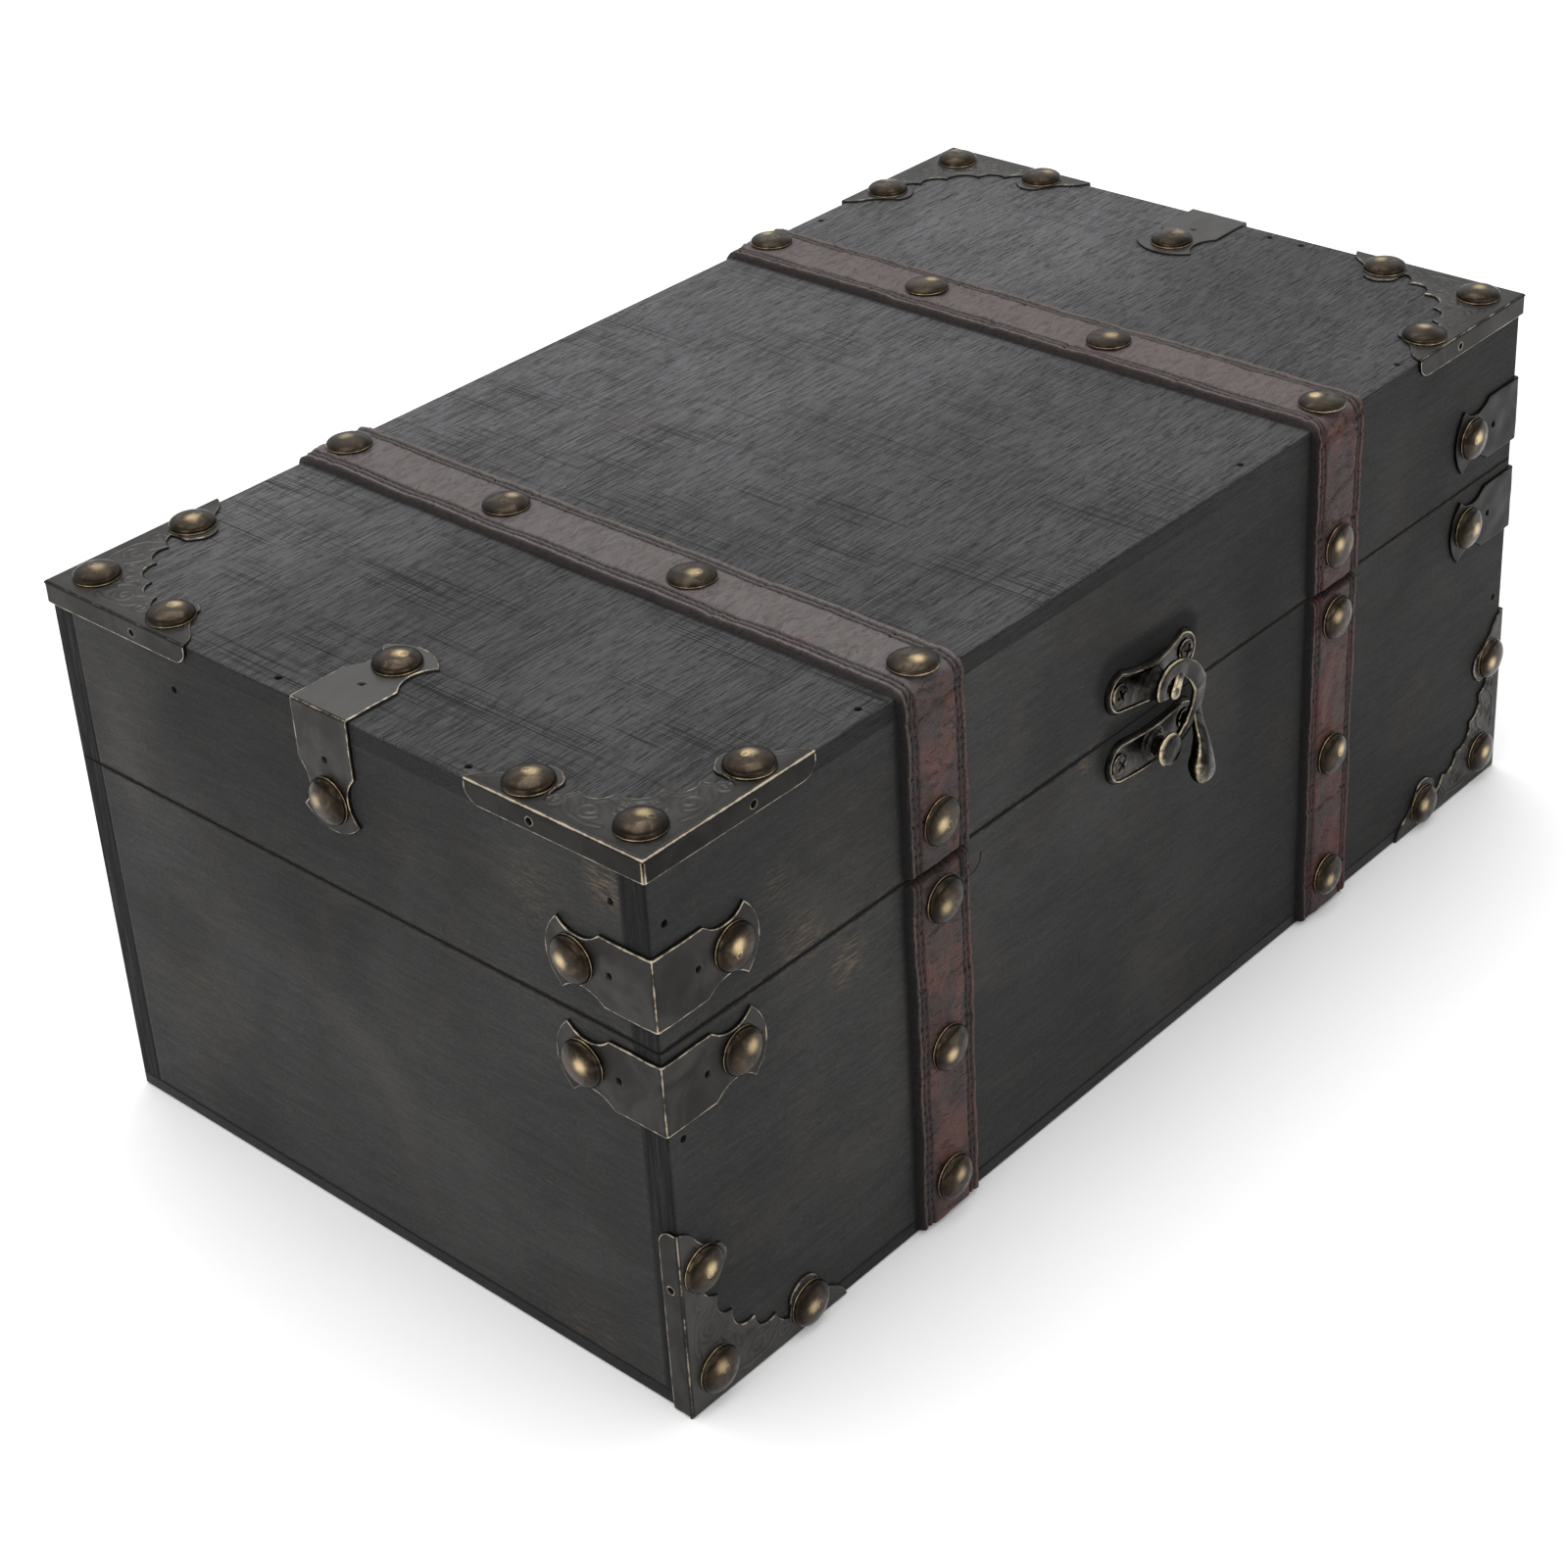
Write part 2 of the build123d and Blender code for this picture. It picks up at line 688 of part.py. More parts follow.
# Leather straps and their tacks
lid_strap_tacks, front_strap_tacks, back_strap_tacks = [], [], []
for side, centre in strap_x().items():
    over = [tack(place, strap_thickness) for place in lid_strap_places(centre)]
    front = [tack(place, strap_thickness) for place in base_strap_places(centre, -1)]
    back = [tack(place, strap_thickness) for place in base_strap_places(centre, 1)]
    parts["lid_strap_" + side] = lid_strap(centre, over)
    parts["base_strap_front_" + side] = base_strap(centre, -1, front)
    parts["base_strap_back_" + side] = base_strap(centre, 1, back)
    lid_strap_tacks += over
    front_strap_tacks += front
    back_strap_tacks += back
parts["lid_strap_tacks"] = lid_strap_tacks
parts["base_strap_front_tacks"] = front_strap_tacks
parts["base_strap_back_tacks"] = back_strap_tacks
lid_tools += lid_strap_tacks
base_tools += front_strap_tacks + back_strap_tacks

# Hinges
base_hinge_screws, lid_hinge_screws = [], []
for side, centre in (("left", -half_length + hinge_inset), ("right", half_length - hinge_inset)):
    lower, upper = hinge_screws(centre, -1), hinge_screws(centre, 1)
    parts["hinge_base_leaf_" + side] = hinge_leaf(centre, -1, lower)
    parts["hinge_lid_leaf_" + side] = hinge_leaf(centre, 1, upper)
    parts["hinge_pin_" + side] = hinge_pin(centre)
    base_hinge_screws += lower
    lid_hinge_screws += upper
parts["hinge_base_screws"] = base_hinge_screws
parts["hinge_lid_screws"] = lid_hinge_screws
base_tools += base_hinge_screws
lid_tools += lid_hinge_screws

# Latch
hook_plane = latch_plane(hook_plate_rise)
keeper_plane = latch_plane(-keeper_plate_drop)
hook_screws, keeper_screws = latch_screws(hook_plane), latch_screws(keeper_plane)
rivet, stud = latch_rivet(), keeper_stud()
parts["latch_hook_plate"] = latch_plate(
    hook_plane, hook_plate_dip, hook_plate_bulge, hook_plate_rise - hook_pivot_rise, hook_boss_height,
    hook_screws + [rivet])
parts["latch_keeper_plate"] = latch_plate(
    keeper_plane, keeper_plate_dip, keeper_plate_bulge, keeper_stud_drop - keeper_plate_drop,
    keeper_boss_height, keeper_screws + [stud])
parts["latch_hook_screws"] = hook_screws
parts["latch_keeper_screws"] = keeper_screws
parts["latch_rivet"] = rivet
parts["latch_keeper_stud"] = stud
parts["latch_hook"] = latch_hook()
lid_tools += hook_screws + [rivet]
base_tools += keeper_screws + [stud]

# Nails
lid_nails = [nail(plane) for plane in lid_nail_planes()]
base_nails = [nail(plane) for plane in base_nail_planes()]
parts["lid_nails"] = [pin for pin, hole in lid_nails]
parts["base_nails"] = [pin for pin, hole in base_nails]
lid_tools += [hole for pin, hole in lid_nails] + end_pits()
base_tools += [hole for pin, hole in base_nails]

# Wooden panels, pierced by what is driven into them
lid_outer = rounded_case(lid_rim, box_height, -1)
base_outer = rounded_case(0, base_rim, 0)
lid_wood = case_panels("lid", lid_outer, lid_rim, lid_frame_top)
lid_wood["lid_top_panel"] = lid_outer & block(
    (-half_length, half_length), (-half_width, half_width), (lid_frame_top, box_height))
base_wood = case_panels("base", base_outer, floor_thickness, base_rim)
base_wood["base_bottom_panel"] = base_outer & block(
    (-half_length, half_length), (-half_width, half_width), (0, floor_thickness))


def reaches(one, other):
    """Whether the boxes around two pieces meet."""
    low_one, high_one = one.bounding_box().min, one.bounding_box().max
    low_other, high_other = other.bounding_box().min, other.bounding_box().max
    pairs = zip(low_one, high_one, low_other, high_other)
    return all(a <= d and c <= b for a, b, c, d in pairs)


for wood, tools in ((lid_wood, lid_tools), (base_wood, base_tools)):
    for name, panel in wood.items():
        parts[name] = cut_all(panel, [tool for tool in tools if reaches(tool, panel)])

os.makedirs("parts", exist_ok=True)
for name, piece in parts.items():
    solids = piece if isinstance(piece, list) else [piece]
    export_step(Compound(children=[solid for item in solids for solid in item.solids()]), f"parts/{name}.step")
print(len(parts), "sub-parts written")
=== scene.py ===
from math import cos, pi, radians, sin

import bmesh
import bpy
import numpy as np
from mathutils import Matrix, Vector


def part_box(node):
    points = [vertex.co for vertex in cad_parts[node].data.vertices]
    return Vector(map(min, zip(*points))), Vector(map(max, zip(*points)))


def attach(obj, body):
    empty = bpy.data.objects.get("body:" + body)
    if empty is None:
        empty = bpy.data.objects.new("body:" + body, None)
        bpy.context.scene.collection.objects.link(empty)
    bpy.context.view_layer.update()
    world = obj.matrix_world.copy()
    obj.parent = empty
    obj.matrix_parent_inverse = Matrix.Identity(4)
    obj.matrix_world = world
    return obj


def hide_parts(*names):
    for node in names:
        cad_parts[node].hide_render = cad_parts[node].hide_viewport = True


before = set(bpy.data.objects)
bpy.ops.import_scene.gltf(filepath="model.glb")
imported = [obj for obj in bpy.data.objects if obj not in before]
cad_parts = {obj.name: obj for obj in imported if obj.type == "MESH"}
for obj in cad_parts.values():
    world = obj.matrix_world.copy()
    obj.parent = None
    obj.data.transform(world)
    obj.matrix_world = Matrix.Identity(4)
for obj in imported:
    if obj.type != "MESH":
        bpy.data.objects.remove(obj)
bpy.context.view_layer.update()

# A wooden treasure chest box. The frame gives its boards, hinges and nails, and this script adds the
# pressed metal, tacks, leather and latch, the materials, and the studio with its camera.
# Sizes in the dictionaries are millimetres, and mm turns them into metres.
mm = 0.001
sunk = -0.02  # sheets and leather reach a hair into the wood that they lie on


def nodeBox(name):
    # lowest and highest corner of a frame node, in millimetres
    low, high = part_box(name)
    return np.array(low) / mm, np.array(high) / mm


def bodyOf(name):
    # for pieces whose name begins with the body that carries them
    return name.split("_")[0]


halfLength, halfWidth, lidTop = nodeBox("lid_top_panel")[1]
baseRim = nodeBox("base_front_panel")[1][2]
lidRim = nodeBox("lid_front_panel")[0][2]
parting = (baseRim + lidRim) / 2
axisX, axisY, axisZ = np.eye(3)


# Meshes from grids

def ripple(u, v, seed, wave, count=7):
    # sum of plane waves with seeded directions, lengths near wave and phases: smooth, about -1 to 1
    draw = np.random.default_rng(seed)
    turn, phase = draw.uniform(0, 2 * pi, (2, count))
    length = wave * draw.uniform(0.6, 1.7, count)
    along = np.asarray(u, float)[..., None] * np.cos(turn) + np.asarray(v, float)[..., None] * np.sin(turn)
    return np.sin(2 * pi * along / length + phase).sum(-1) / count ** 0.5


def bell(value, at, width):
    # exp(-((value - at) / width) squared): 1 at the place and fading to both sides
    return np.exp(-((value - at) / width) ** 2)


def fullTurn(count):
    return np.linspace(0, 2 * pi, count + 1)[None, :-1]


def unit(rows):
    return rows / np.linalg.norm(rows, axis=-1, keepdims=True)


def drawnIn(rows):
    # rows of points with each point moved to its row's middle
    return np.broadcast_to(rows.mean(-2, keepdims=True), rows.shape)


def sheetSection(corners, flat):
    # a sheet from edge to edge: share of its flat half width, and sine and drop of its rounded edges
    bend = np.linspace(pi / 2, 0, corners + 1)[:-1]
    share = np.concatenate([-np.ones(corners), np.linspace(-1, 1, flat), np.ones(corners)])
    side = np.concatenate([-np.sin(bend), np.zeros(flat), np.sin(bend[::-1])])
    drop = np.concatenate([1 - np.cos(bend), np.zeros(flat), 1 - np.cos(bend[::-1])])
    return share[None], side[None], drop[None]


def newShape():
    # edge marks bright edges, worn and painted as highlights; grime marks dirt and painted shade in holes,
    # recesses, undersides and side walls
    return {"points": [], "faces": [], "edge": [], "grimeAndShade": [], "tone": [], "spot": [], "count": 0}


def addGrid(shape, points, edge=0.0, grimeAndShade=0.0, tone=0.0, spot=0.0):
    # one grid (rows, columns, 3), or many alike (copies, rows, columns, 3), as quads between neighbours, and
    # between the last column and the first
    points = np.asarray(points, float)
    if points.ndim == 3:
        points = points[None]
    copies, rows, columns = points.shape[:3]
    index = np.arange(rows * columns).reshape(rows, columns)
    index = np.hstack([index, index[:, :1]])
    quads = np.stack([index[:-1, :-1], index[1:, :-1], index[1:, 1:], index[:-1, 1:]], -1).reshape(-1, 4)
    offsets = shape["count"] + np.arange(copies) * rows * columns
    shape["faces"].append((quads[None] + offsets[:, None, None]).reshape(-1, 4))
    shape["points"].append(points.reshape(-1, 3))
    for name, value in (("edge", edge), ("grimeAndShade", grimeAndShade), ("tone", tone), ("spot", spot)):
        shape[name].append(np.broadcast_to(value, points.shape[:3]).reshape(-1))
    shape["count"] += copies * rows * columns


def capRows(points):
    # closes a tube of rings: each end gets one more ring, drawn in to the middle of the last
    return np.concatenate([drawnIn(points[..., :1, :, :]), points, drawnIn(points[..., -1:, :, :])], -3)


def capValues(values):
    return np.concatenate([values[:1], values, values[-1:]])


def withBack(values, back=0.0):
    # a sheet's values with two more columns, for the two edges that lie in the wood
    return np.concatenate([values, np.full((len(values), 2), back)], 1)


def makePiece(name, shape, material, body, replaced, sharp):
    # puts the grids into a mesh, welds seams and poles, turns faces outward, and hands the piece over
    mesh = bpy.data.meshes.new(name)
    points, faces = np.concatenate(shape["points"]) * mm, np.concatenate(shape["faces"])
    mesh.vertices.add(len(points))
    mesh.vertices.foreach_set("co", points.ravel())
    mesh.loops.add(faces.size)
    mesh.loops.foreach_set("vertex_index", faces.ravel().astype(np.int32))
    mesh.polygons.add(len(faces))
    mesh.polygons.foreach_set("loop_start", np.arange(0, faces.size, 4, dtype=np.int32))
    mesh.update(calc_edges=True)
    for key in ("edge", "grimeAndShade", "tone", "spot"):
        layer = mesh.attributes.new(key, "FLOAT", "POINT")
        layer.data.foreach_set("value", np.concatenate(shape[key]).astype(np.float32))
    work = bmesh.new()
    work.from_mesh(mesh)
    bmesh.ops.remove_doubles(work, verts=work.verts, dist=0.002 * mm)
    bmesh.ops.dissolve_degenerate(work, edges=work.edges, dist=0.0005 * mm)
    bmesh.ops.recalc_face_normals(work, faces=work.faces)
    work.to_mesh(mesh)
    work.free()
    mesh.polygons.foreach_set("use_smooth", np.ones(len(mesh.polygons), bool))
    mesh.set_sharp_from_angle(angle=radians(sharp))
    mesh.materials.append(material)
    piece = bpy.data.objects.new(name, mesh)
    bpy.context.scene.collection.objects.link(piece)
    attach(piece, body)
    if replaced:
        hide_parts(*replaced)


def toPlace(local, origin, u, v, w):
    # points (u, v, w) of a piece drawn flat, laid at its place on the chest
    return origin + local[..., :1] * u + local[..., 1:2] * v + local[..., 2:3] * w


def arcPoints(start, through, end, count):
    # circular arc through three points, from its centre and the swept angle
    (ax, ay), (bx, by), (cx, cy) = start, through, end
    cross = 2 * (ax * (by - cy) + bx * (cy - ay) + cx * (ay - by))
    a, b, c = ax * ax + ay * ay, bx * bx + by * by, cx * cx + cy * cy
    centre = np.array([a * (by - cy) + b * (cy - ay) + c * (ay - by),
                       a * (cx - bx) + b * (ax - cx) + c * (bx - ax)]) / cross
    angles = np.unwrap([np.arctan2(p[1] - centre[1], p[0] - centre[0]) for p in (start, through, end)])
    turn = np.linspace(angles[0], angles[2], count)
    reach = np.hypot(ax - centre[0], ay - centre[1])
    return centre + reach * np.stack([np.cos(turn), np.sin(turn)], -1)


def smoothLine(points, count):
    # Catmull-Rom line through rows of numbers, sampled evenly in the parameter
    rows = np.asarray(points, float)
    rows = np.vstack([2 * rows[0] - rows[1], rows, 2 * rows[-1] - rows[-2]])
    at = np.linspace(0, len(rows) - 3, count)
    cell = np.minimum(at.astype(int), len(rows) - 4)
    t = (at - cell)[:, None]
    a, b, c, d = (rows[cell + k] for k in range(4))
    squared, cubed = 2 * a - 5 * b + 4 * c - d, 3 * b - a - 3 * c + d
    return 0.5 * (2 * b + (c - a) * t + squared * t ** 2 + cubed * t ** 3)


# Shader helpers

def plug(tree, value, socket):
    if isinstance(value, bpy.types.NodeSocket):
        tree.links.new(value, socket)
    else:
        socket.default_value = value


def addNode(tree, kind, settings=None, sockets=None):
    made = tree.nodes.new("ShaderNode" + kind)
    for key, value in (settings or {}).items():
        setattr(made, key, value)
    for key, value in (sockets or {}).items():
        plug(tree, value, made.inputs[key])
    return made


def sums(tree, operation, first, second=0.0, clamp=False):
    made = addNode(tree, "Math", {"operation": operation, "use_clamp": clamp}, {0: first, 1: second})
    return made.outputs[0]


def times(tree, first, second):
    return sums(tree, "MULTIPLY", first, second)


def plus(tree, first, second, clamp=False):
    return sums(tree, "ADD", first, second, clamp)


def minus(tree, first, second):
    return sums(tree, "SUBTRACT", first, second)


def most(tree, first, second):
    return sums(tree, "MAXIMUM", first, second)


def unsigned(tree, value):
    return sums(tree, "ABSOLUTE", value)


def span(tree, value, low, high, newLow=0.0, newHigh=1.0):
    made = addNode(tree, "MapRange", {"interpolation_type": "SMOOTHSTEP"},
                   {"Value": value, "From Min": low, "From Max": high, "To Min": newLow, "To Max": newHigh})
    return made.outputs["Result"]


def fade(tree, value, low, high, amount=1.0):
    # the whole amount up to low, and nothing past high
    return span(tree, value, low, high, amount, 0.0)


def vectors(tree, operation, first, second=(0, 0, 0)):
    # a vector, or a number where the operation gives one
    made = addNode(tree, "VectorMath", {"operation": operation}, {0: first, 1: second})
    return made.outputs["Value" if operation in ("LENGTH", "DISTANCE") else "Vector"]


def apart(tree, vector):
    return addNode(tree, "SeparateXYZ", None, {0: vector}).outputs


def joined(tree, x, y, z):
    return addNode(tree, "CombineXYZ", None, {0: x, 1: y, 2: z}).outputs[0]


def blendColour(tree, share, first, second, mode="MIX"):
    made = addNode(tree, "Mix", {"data_type": "RGBA", "blend_type": mode}, {0: share, 6: first, 7: second})
    return made.outputs[2]


def noise(tree, vector, scale, detail, rough=0.55, twist=0.0):
    made = addNode(tree, "TexNoise", None, {"Vector": vector, "Scale": scale, "Detail": detail,
                                            "Roughness": rough, "Distortion": twist})
    return made.outputs[0]


def wobble(tree, vector, scale, amount):
    # an unevenness about zero
    return times(tree, minus(tree, noise(tree, vector, scale, 4.0, 0.7), 0.5), amount)


def stretched(tree, vector, scale):
    return addNode(tree, "Mapping", None, {"Vector": vector, "Scale": scale}).outputs[0]


def turnedBy(tree, vector, degrees):
    return addNode(tree, "Mapping", None, {"Vector": vector, "Rotation": (0, 0, radians(degrees))}).outputs[0]


def newGroup(name, inputs, outputs):
    # a node group with float or vector inputs, given with their first values, and float outputs
    group = bpy.data.node_groups.new(name, "ShaderNodeTree")
    for key, value in inputs.items():
        kind = "NodeSocketVector" if value is None else "NodeSocketFloat"
        socket = group.interface.new_socket(name=key, in_out="INPUT", socket_type=kind)
        if value is not None:
            socket.default_value = value
    for key in outputs:
        group.interface.new_socket(name=key, in_out="OUTPUT", socket_type="NodeSocketFloat")
    return group, group.nodes.new("NodeGroupInput").outputs, group.nodes.new("NodeGroupOutput").inputs


def useGroup(tree, group, sockets):
    made = tree.nodes.new("ShaderNodeGroup")
    made.node_tree = group
    for key, value in sockets.items():
        plug(tree, value, made.inputs[key])
    return made.outputs


def fibreGroup():
    # wood fibre: streaks drawn out along the local X of the given vector, and slow board tones
    group, given, result = newGroup(
        "woodFibre", {"Vector": None, "Length": 30.0, "Fineness": 1.0}, ("Streak", "Board"))
    shorter = sums(group, "DIVIDE", 1.0, given["Length"])
    drawn = vectors(group, "MULTIPLY", given["Vector"], joined(group, shorter, 1.0, 1.0))
    plug(group, noise(group, drawn, given["Fineness"], 5.0, 0.65, 0.3), result["Streak"])
    plug(group, noise(group, given["Vector"], 0.018, 2.0, 0.5, 0.6), result["Board"])
    return group


def scratchGroup():
    # thin straight marks in one direction: noise drawn far out along local X, kept where it peaks
    group, given, result = newGroup(
        "fineMarks", {"Vector": None, "Fineness": 1.0, "Low": 0.6, "High": 0.7}, ("Mark",))
    drawn = vectors(group, "MULTIPLY", given["Vector"], (0.008, 1.0, 1.0))
    fine = noise(group, drawn, given["Fineness"], 2.0, 0.6)
    broken = noise(group, stretched(group, given["Vector"], (0.4, 1, 1)), 0.06, 3.0, 0.6)
    mark = addNode(group, "MapRange", None,
                   {"Value": fine, "From Min": given["Low"], "From Max": given["High"]})
    plug(group, times(group, mark.outputs[0], span(group, broken, 0.42, 0.62)), result["Mark"])
    return group


def tarnishGroup():
    # patchy metal: cloudy tarnish, small specks and a fine cast surface height
    group, given, result = newGroup(
        "tarnish", {"Vector": None, "Size": 4.0, "Shift": 0.0}, ("Cloud", "Speck", "Height"))
    moved = vectors(group, "ADD", given["Vector"], joined(group, *[given["Shift"]] * 3))
    cloud = noise(group, moved, sums(group, "DIVIDE", 1.0, given["Size"]), 4.0, 0.6, 0.8)
    plug(group, span(group, cloud, 0.36, 0.66), result["Cloud"])
    speck = noise(group, moved, 1.7, 3.0, 0.7)
    plug(group, span(group, speck, 0.58, 0.72), result["Speck"])
    plug(group, plus(group, times(group, speck, 0.4), cloud), result["Height"])
    return group


def wornEdgeAndHighlightGroup():
    # bright edges, partly rubbed metal and partly a painted highlight: the piece's own edge mask, broken up
    # by noise so the bright line comes and goes
    group, given, result = newGroup(
        "wornEdgeAndHighlight", {"Vector": None, "Edge": 0.0, "Break": 0.5}, ("RubAndHighlight",))
    broken = noise(group, given["Vector"], 0.3, 5.0, 0.7)
    loss = times(group, span(group, broken, 0.38, 0.62), given["Break"])
    plug(group, span(group, minus(group, given["Edge"], loss), 0.15, 0.75), result["RubAndHighlight"])
    return group


woodFibre, fineMarks, tarnish, wornEdgeAndHighlight = fibreGroup(), scratchGroup(), tarnishGroup(), wornEdgeAndHighlightGroup()


def newMaterial(name, fixed):
    # a Principled material with the sockets that stay the same all over, and coordinates in millimetres
    material = bpy.data.materials.new(name)
    material.use_nodes = True
    tree = material.node_tree
    shader = next(n for n in tree.nodes if n.type == "BSDF_PRINCIPLED")
    for key, value in fixed.items():
        shader.inputs[key].default_value = value
    coords = addNode(tree, "TexCoord").outputs["Object"]
    inMm = stretched(tree, coords, (1 / mm,) * 3)
    return material, tree, shader, inMm


def bumpTo(tree, shader, height, distance):
    # distance is the height's real size, in millimetres
    bump = addNode(tree, "Bump", None, {"Strength": 1.0, "Distance": distance * mm, "Height": height})
    plug(tree, bump.outputs[0], shader.inputs["Normal"])


def attribute(tree, name):
    return addNode(tree, "Attribute", {"attribute_name": name}).outputs["Fac"]


# Wood

stain = {
    # edge is a multiplier that takes the top board's painted light back off its own edges and the floor board
    "worn": (0.098, 0.067, 0.041, 1), "black": (0.003, 0.003, 0.003, 1), "edge": (0.21, 0.206, 0.198, 1),
    # how much the stain is rubbed off along the parting line, over faint clouds and in flecks
    "lineReach": 4.0, "lineWear": 0.22, "cloudWear": 0.10, "fleckWear": 0.16,
    # how dark the dirt is in the parting line, over the floor board and in the seams, and how dark the
    # painted shade beside the straps is and how far it reaches
    "lineDirt": 0.95, "strapShade": 0.8, "strapReach": 2.2, "floorDirt": 0.85, "seamDirt": 0.92,
    # depth of dashes, seams and end grain, as multiples of the fibre's
    "dashDepth": 0.8, "seamDepth": 3.0, "endDepth": 2.5,
}
sideStain = {
    "dark": (0.0075, 0.0075, 0.0072, 1), "light": (0.0215, 0.0213, 0.0203, 1), "fibre": 0.06, "saws": (),
    # shares of broad streaks, speckle, fine streaks and slow tones, and where they turn from dark to light
    "mix": (0.4, 0.6, 0.0, 0.5), "reach": (0.32, 0.70), "seamed": True,
}
boards = {
    # the top and floor boards' colours are painted lighter than the sides', standing in for the light and
    # sheen on the top face
    "stainedTopPaintedLight": {
        "dark": (0.031, 0.031, 0.0325, 1), "light": (0.116, 0.1155, 0.121, 1), "fibre": 0.095,
        "mix": (0.10, 0.15, 0.75, 0.24), "reach": (0.22, 0.80), "turn": 0, "dashes": 0.85,
        # saw lines: heading, fineness and share
        "saws": ((90, 2.3, 0.9), (0, 2.4, 0.6)), "seamed": False, "endGrain": False,
        # rubbed spots: where, how far they reach, and how much of the stain is gone
        "rubbed": (((-118, 24, 144), 30, 0.08),),
        # darker places, painted shade: spot, half the length of its level line, reach, and how dark
        "shaded": (((0, -95, 144), 165, 130, 0.34), ((-165, -95, 144), 0, 210, 0.44)),
    },
    "stainedLongSide": {
        **sideStain, "turn": 0, "dashes": 0.30, "endGrain": True,
        "rubbed": (((-122, -95, 102), 11, 0.55), ((-108, -95, 88), 9, 0.8), ((-23, -95, 95.5), 5, 0.7),
                   ((-128, -95, 118), 9, 0.35), ((60, -95, 60), 14, 0.15), ((120, -95, 40), 16, 0.2)),
        # painted shadow round the latch plates, and painted shade deepening towards the right end
        "shaded": (((0.5, -95, 112), 12.5, 10.0, 0.85), ((0.5, -95, 93.5), 12.5, 10.0, 0.85),
                  ((175, -95, 80), 0, 230, 0.42)),
    },
    "stainedEnd": {
        **sideStain, "turn": 90, "dashes": 0.22, "endGrain": False,
        "rubbed": (((-165, -84, 134), 9, 0.95), ((-165, -62, 124), 16, 0.3), ((-165, -65, 8), 18, 0.25),
                   ((-165, 60, 44), 22, 0.2), ((-165, -20, 118), 12, 0.2)),
        # painted shade over a broad patch in the middle of the end
        "shaded": (((-165, 10, 128), 0, 75, 0.32),),
    },
}
floorBoard = nodeBox("base_bottom_panel")[1][2]
frontLow, frontHigh = nodeBox("lid_front_panel")
seamAt = frontHigh[1] - frontLow[1]
strapSides = [(nodeBox(name)[0][0], nodeBox(name)[1][0]) for name in ("lid_strap_left", "lid_strap_right")]


def boardTone(tree, grain, board):
    # stain from dark to light by streaks, speckle and slow tones, with short dark dashes along the grain
    broad, dotted, thin, slow = board["mix"]
    fibre = useGroup(tree, woodFibre, {"Vector": grain, "Length": 10.0, "Fineness": 0.9})
    fine = useGroup(tree, woodFibre, {"Vector": grain, "Length": 30.0, "Fineness": 2.3})["Streak"]
    speckle = noise(tree, stretched(tree, grain, (0.5, 1, 1)), 1.6, 4.0, 0.7)
    tone = plus(tree, times(tree, fibre["Streak"], broad), times(tree, speckle, dotted))
    tone = plus(tree, tone, times(tree, fine, thin))
    tone = plus(tree, tone, times(tree, minus(tree, fibre["Board"], 0.5), slow))
    line = noise(tree, stretched(tree, grain, (0.06, 1, 1)), 3.4, 2.0, 0.6)
    dash = times(tree, span(tree, line, 0.46, 0.38), span(tree, speckle, 0.36, 0.50))
    colour = blendColour(tree, span(tree, tone, *board["reach"]), board["dark"], board["light"])
    colour = blendColour(tree, times(tree, dash, board["dashes"]), colour, stain["black"])
    return tone, colour, minus(tree, fine, times(tree, dash, stain["dashDepth"]))


def sawLines(tree, place, x, board, colour, height):
    # saw lines come and go in bands, cut dark into the stain, and are fainter on the right
    for heading, fineness, share in board["saws"]:
        mark = useGroup(tree, fineMarks, {"Vector": turnedBy(tree, place, heading), "Fineness": fineness,
                                          "Low": 0.54, "High": 0.60})["Mark"]
        cut = times(tree, mark, span(tree, x, -60.0, 90.0, share, 0.4 * share))
        colour = blendColour(tree, cut, colour, stain["black"])
        height = minus(tree, height, cut)
    return colour, height


def rubbedWood(tree, place, grain, fromLine, board):
    # where the stain is gone: along the parting line, at the named spots, in faint clouds and in flecks
    wear = times(tree, fade(tree, fromLine, 0.0, stain["lineReach"]), stain["lineWear"])
    for spot, reach, amount in board["rubbed"]:
        away = vectors(tree, "DISTANCE", place, spot)
        wear = plus(tree, wear, fade(tree, away, 0.2 * reach, reach, amount))
    streaks = noise(tree, stretched(tree, grain, (0.11, 1, 1)), 2.0, 3.0, 0.65)
    wear = times(tree, wear, span(tree, streaks, 0.47, 0.60))
    cloud = span(tree, noise(tree, place, 0.035, 3.0, 0.6, 0.8), 0.50, 0.75)
    fleck = span(tree, noise(tree, stretched(tree, grain, (0.3, 1, 1)), 0.9, 2.0, 0.6), 0.66, 0.74)
    faint = plus(tree, times(tree, cloud, stain["cloudWear"]), times(tree, fleck, stain["fleckWear"]))
    return plus(tree, wear, faint, clamp=True)


